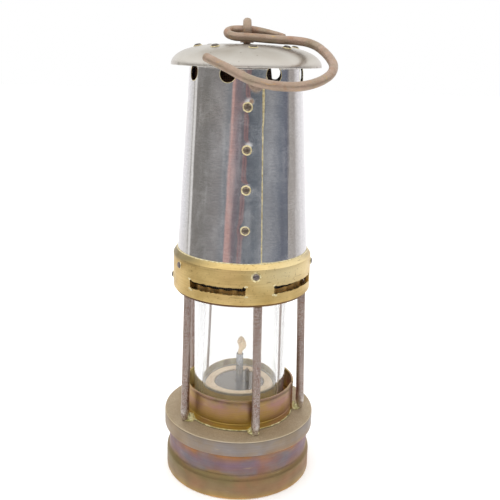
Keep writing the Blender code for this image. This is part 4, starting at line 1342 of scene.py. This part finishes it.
def build_dome():
    """The spun dome with its blunt rim, and the eight rivets that hold it."""
    rows = 54
    outer = []
    inner = []
    for k in range(1, rows + 1):
        radius = DOME_RADIUS * sin(0.5 * pi * k / rows) ** (2 / DOME_POWER)
        height = dome_height(radius)
        normal = dome_normal(radius)
        if radius > DOME_HOLE:
            outer.append((radius - 0.0001, height))
            inner.append((radius - 0.0001 - DOME_WALL * normal.x, height - DOME_WALL * normal.y))
    lip = [(DOME_RADIUS - 0.0002, DOME_RIM_Z - 0.0003)]
    dome = turned("dome_shell", outer + lip + inner[::-1], NICKEL, 220, dome_warp)
    place(dome, "frame", "satin_nickel", "dome")
    lean = dome_normal(DOME_RIVET_CIRCLE)
    for i in range(1, 9):
        angle = middle(f"dome_rivet_{i}")[1]
        matrix = pointing(around(angle, DOME_RIVET_CIRCLE, dome_height(DOME_RIVET_CIRCLE)),
                          around(angle, *lean))
        rivet = headed(f"dome_rivet_cap_{i}", 0.002, 0.0011, 0.0004, DOME_HEAD, matrix, 0.0042)
        place(rivet, "frame", "bright_brass", f"dome_rivet_{i}")


# ---- swivel eye and hook --------------------------------------------------------------------------
def build_eye():
    """The forged eye, thicker at its foot, with its collar on the dome."""
    def centre_at(angle):
        turn = radians(angle)
        return Vector((0, EYE_MAJOR * sin(turn), EYE_Z - EYE_MAJOR * cos(turn)))

    def radius_at(angle):
        return EYE_WIRE * (1 + 0.1 * cos(radians(angle))) * 0.985

    def forged(share, turn):
        return 1 + 0.03 * grain((cos(share * 2 * pi) * 2, cos(turn), sin(turn)))
    loop = hoop("eye_loop", 72, centre_at, radius_at, WIRE, 24, forged)
    moved(loop, Matrix.Diagonal((EYE_WIDENING, 1, 1, 1)))
    foot = EYE_Z - EYE_MAJOR
    shank = turned("eye_shank", [
        (0, foot + 0.001), (0.0026, foot + 0.0004, 0.0004), (0.0031, 0.2502, 0.0006),
        (0.0036, 0.2496, 0.0002), (0.0036, 0.249, 0.0002), (0.0019, 0.249), (0.0019, 0.244),
        (0, 0.244)], WIRE, SMALL_STEPS, edge=0.0003)
    place(joined("swivel_eye", [loop, shank]), "swivel", "rusty_steel", "hook_eye")


def build_hook():
    """The bent wire hook: its closed eye through the swivel, and the wide open ring."""
    tilt = radians(HOOK_TILT)
    outward = Vector((0, -cos(tilt), -sin(tilt)))
    hinge = Vector((0, 0, EYE_Z))
    right = Vector((1, 0, 0))
    route = smooth_route([hinge + right * (side * MILLIMETRE) + outward * (reach * MILLIMETRE)
                          for side, reach in HOOK_ROUTE], 10)
    radii = [HOOK_WIRE * (0.6 + 0.4 * ease(0, 36, i)) for i in range(len(route))]

    def worn(share, turn):
        return 0.985 + 0.022 * grain((share * 90, cos(turn) * 1.5, sin(turn) * 1.5))
    hook = swept("hook_wire", route, radii, WIRE, 28, 0.0007, shape=worn)
    place(hook, "hook", "rusty_steel", "hook")


def dress_hidden_nodes():
    """Finishes for the CAD nodes that stay as they are, inside or under the lamp."""
    finishes = {
        "vessel_wadding": WADDING, "pricker_gland": SEAT_BRASS, "pricker_rod": WIRE,
        "vessel_seal_washer": DARK_FIBRE, "gauze_collar": BAFFLE_BRASS, "swivel_nut": WIRE}
    for node, finish in finishes.items():
        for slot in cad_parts[node].material_slots:
            slot.material = finish


# ---- studio ---------------------------------------------------------------------------------------
def build_world():
    """A white studio that is dim and tinted in front, which the polished bonnet mirrors."""
    world = bpy.data.worlds.new("studio")
    bpy.context.scene.world = world
    world.use_nodes = True
    world.node_tree.nodes.clear()
    nodes = Nodes(world.node_tree)
    split = nodes.add("SeparateXYZ", 0, {0: nodes.add("TexCoord", "Generated", {})}).node.outputs
    # The strips lean with height, most of all at 25 degrees to the right.
    turn = nodes.math("ARCTAN2", split["X"], nodes.math("MULTIPLY", split["Y"], -1))
    sway = nodes.math("SINE", nodes.math("ADD", turn, radians(65)))
    lean = nodes.math("MULTIPLY", nodes.math("MULTIPLY", sway, split["Z"]), radians(-50))
    share = nodes.math("ADD", nodes.math("DIVIDE", nodes.math("ADD", turn, lean), 2 * pi), 0.5)
    strips = [(angle / 360 + 0.5, (*(1.29 * level for level in linear(color)[:3]), 1))
              for angle, color in STUDIO_STRIPS]
    white = nodes.math("MAXIMUM", nodes.level(split["Z"], 0.12, 0.32),
                       nodes.level(split["Z"], -0.26, -0.38))
    mirrored = nodes.mix(white, nodes.ramp(share, strips), (1.16, 1.15, 1.13, 1))
    studio = nodes.add("Background", 0, {"Color": mirrored})
    plain = nodes.add("Background", 0, {"Color": (1, 1, 1, 1)})
    rays = nodes.add("LightPath", 0, {}).node.outputs
    seen = nodes.math("MAXIMUM", rays["Is Camera Ray"],
                      nodes.math("GREATER_THAN", rays["Transmission Depth"], 0.5))
    output = world.node_tree.nodes.new("ShaderNodeOutputWorld")
    nodes.give(output.inputs["Surface"], nodes.add("MixShader", 0, {0: seen, 1: studio, 2: plain}))


def build_floor():
    """The plain pale floor."""
    half = 4
    corners = [Vector((x, y, 0)) for x, y in ((-half, -half), (half, -half), (half, half),
                                                (-half, half))]
    finish = Finish("floor_white", (0.9, 0.9, 0.91, 1), 0.9, 0)
    finish.base = finish.mix(finish.cloud(3, 2), finish.base, (0.92, 0.92, 0.92, 1))
    finish.inputs["Emission Color"].default_value = (1, 1, 1, 1)
    finish.inputs["Emission Strength"].default_value = 0.12
    mesh = bpy.data.meshes.new("floor")
    mesh.from_pydata(corners, [], [(0, 1, 2, 3)])
    mesh.materials.append(finish.done())
    floor = added("floor", mesh)
    floor.visible_glossy = False


def build_lights():
    """A large soft light overhead, a little to the left and in front, and a weaker one behind."""
    for name, at, size, power in (("overhead", (-0.35, -0.25, 1.5), 1.4, 9),
                                  ("behind", (0.4, 1.3, 1.2), 1.2, 5)):
        light = bpy.data.lights.new(name, "AREA")
        light.size = size
        light.energy = power
        holder = added(name, light)
        holder.visible_glossy = False
        holder.matrix_world = pointing(Vector(at), Vector(at) - Vector((0, 0, 0.1)))


def build_camera():
    """The camera, close in front of the lamp and looking down on it a little."""
    camera = bpy.data.cameras.new("camera")
    camera.sensor_width = 36
    camera.lens = 51.55
    camera.clip_start = 0.01
    camera.dof.use_dof = False
    holder = added("camera", camera)
    yaw, pitch, roll = radians(0.65), radians(15.7), radians(1.49)
    holder.matrix_world = (Matrix.Translation((0, -0.395, 0.246)) @ Matrix.Rotation(-yaw, 4, "Z")
                           @ Matrix.Rotation(pi / 2 - pitch, 4, "X") @ Matrix.Rotation(roll, 4, "Z"))
    bpy.context.scene.camera = holder
    bpy.context.scene.view_settings.view_transform = "Standard"


# ---- assembly: the studio, then the lamp from the vessel up to the hook ---------------------------
for build in (
        build_camera, build_world, build_floor, build_lights, build_vessel, build_burner,
        build_wick, build_pricker, build_base, build_cup, build_rings, build_pillars,
        build_foot_bead, build_vent_ring, build_baffle, build_slot_shade_ring, build_ring_screws,
        build_bonnet, build_outlet_edge_highlights, build_seam, build_seam_rivets, build_gauzes,
        build_smoke_cap, build_dome, build_eye, build_hook, dress_hidden_nodes):
    build()
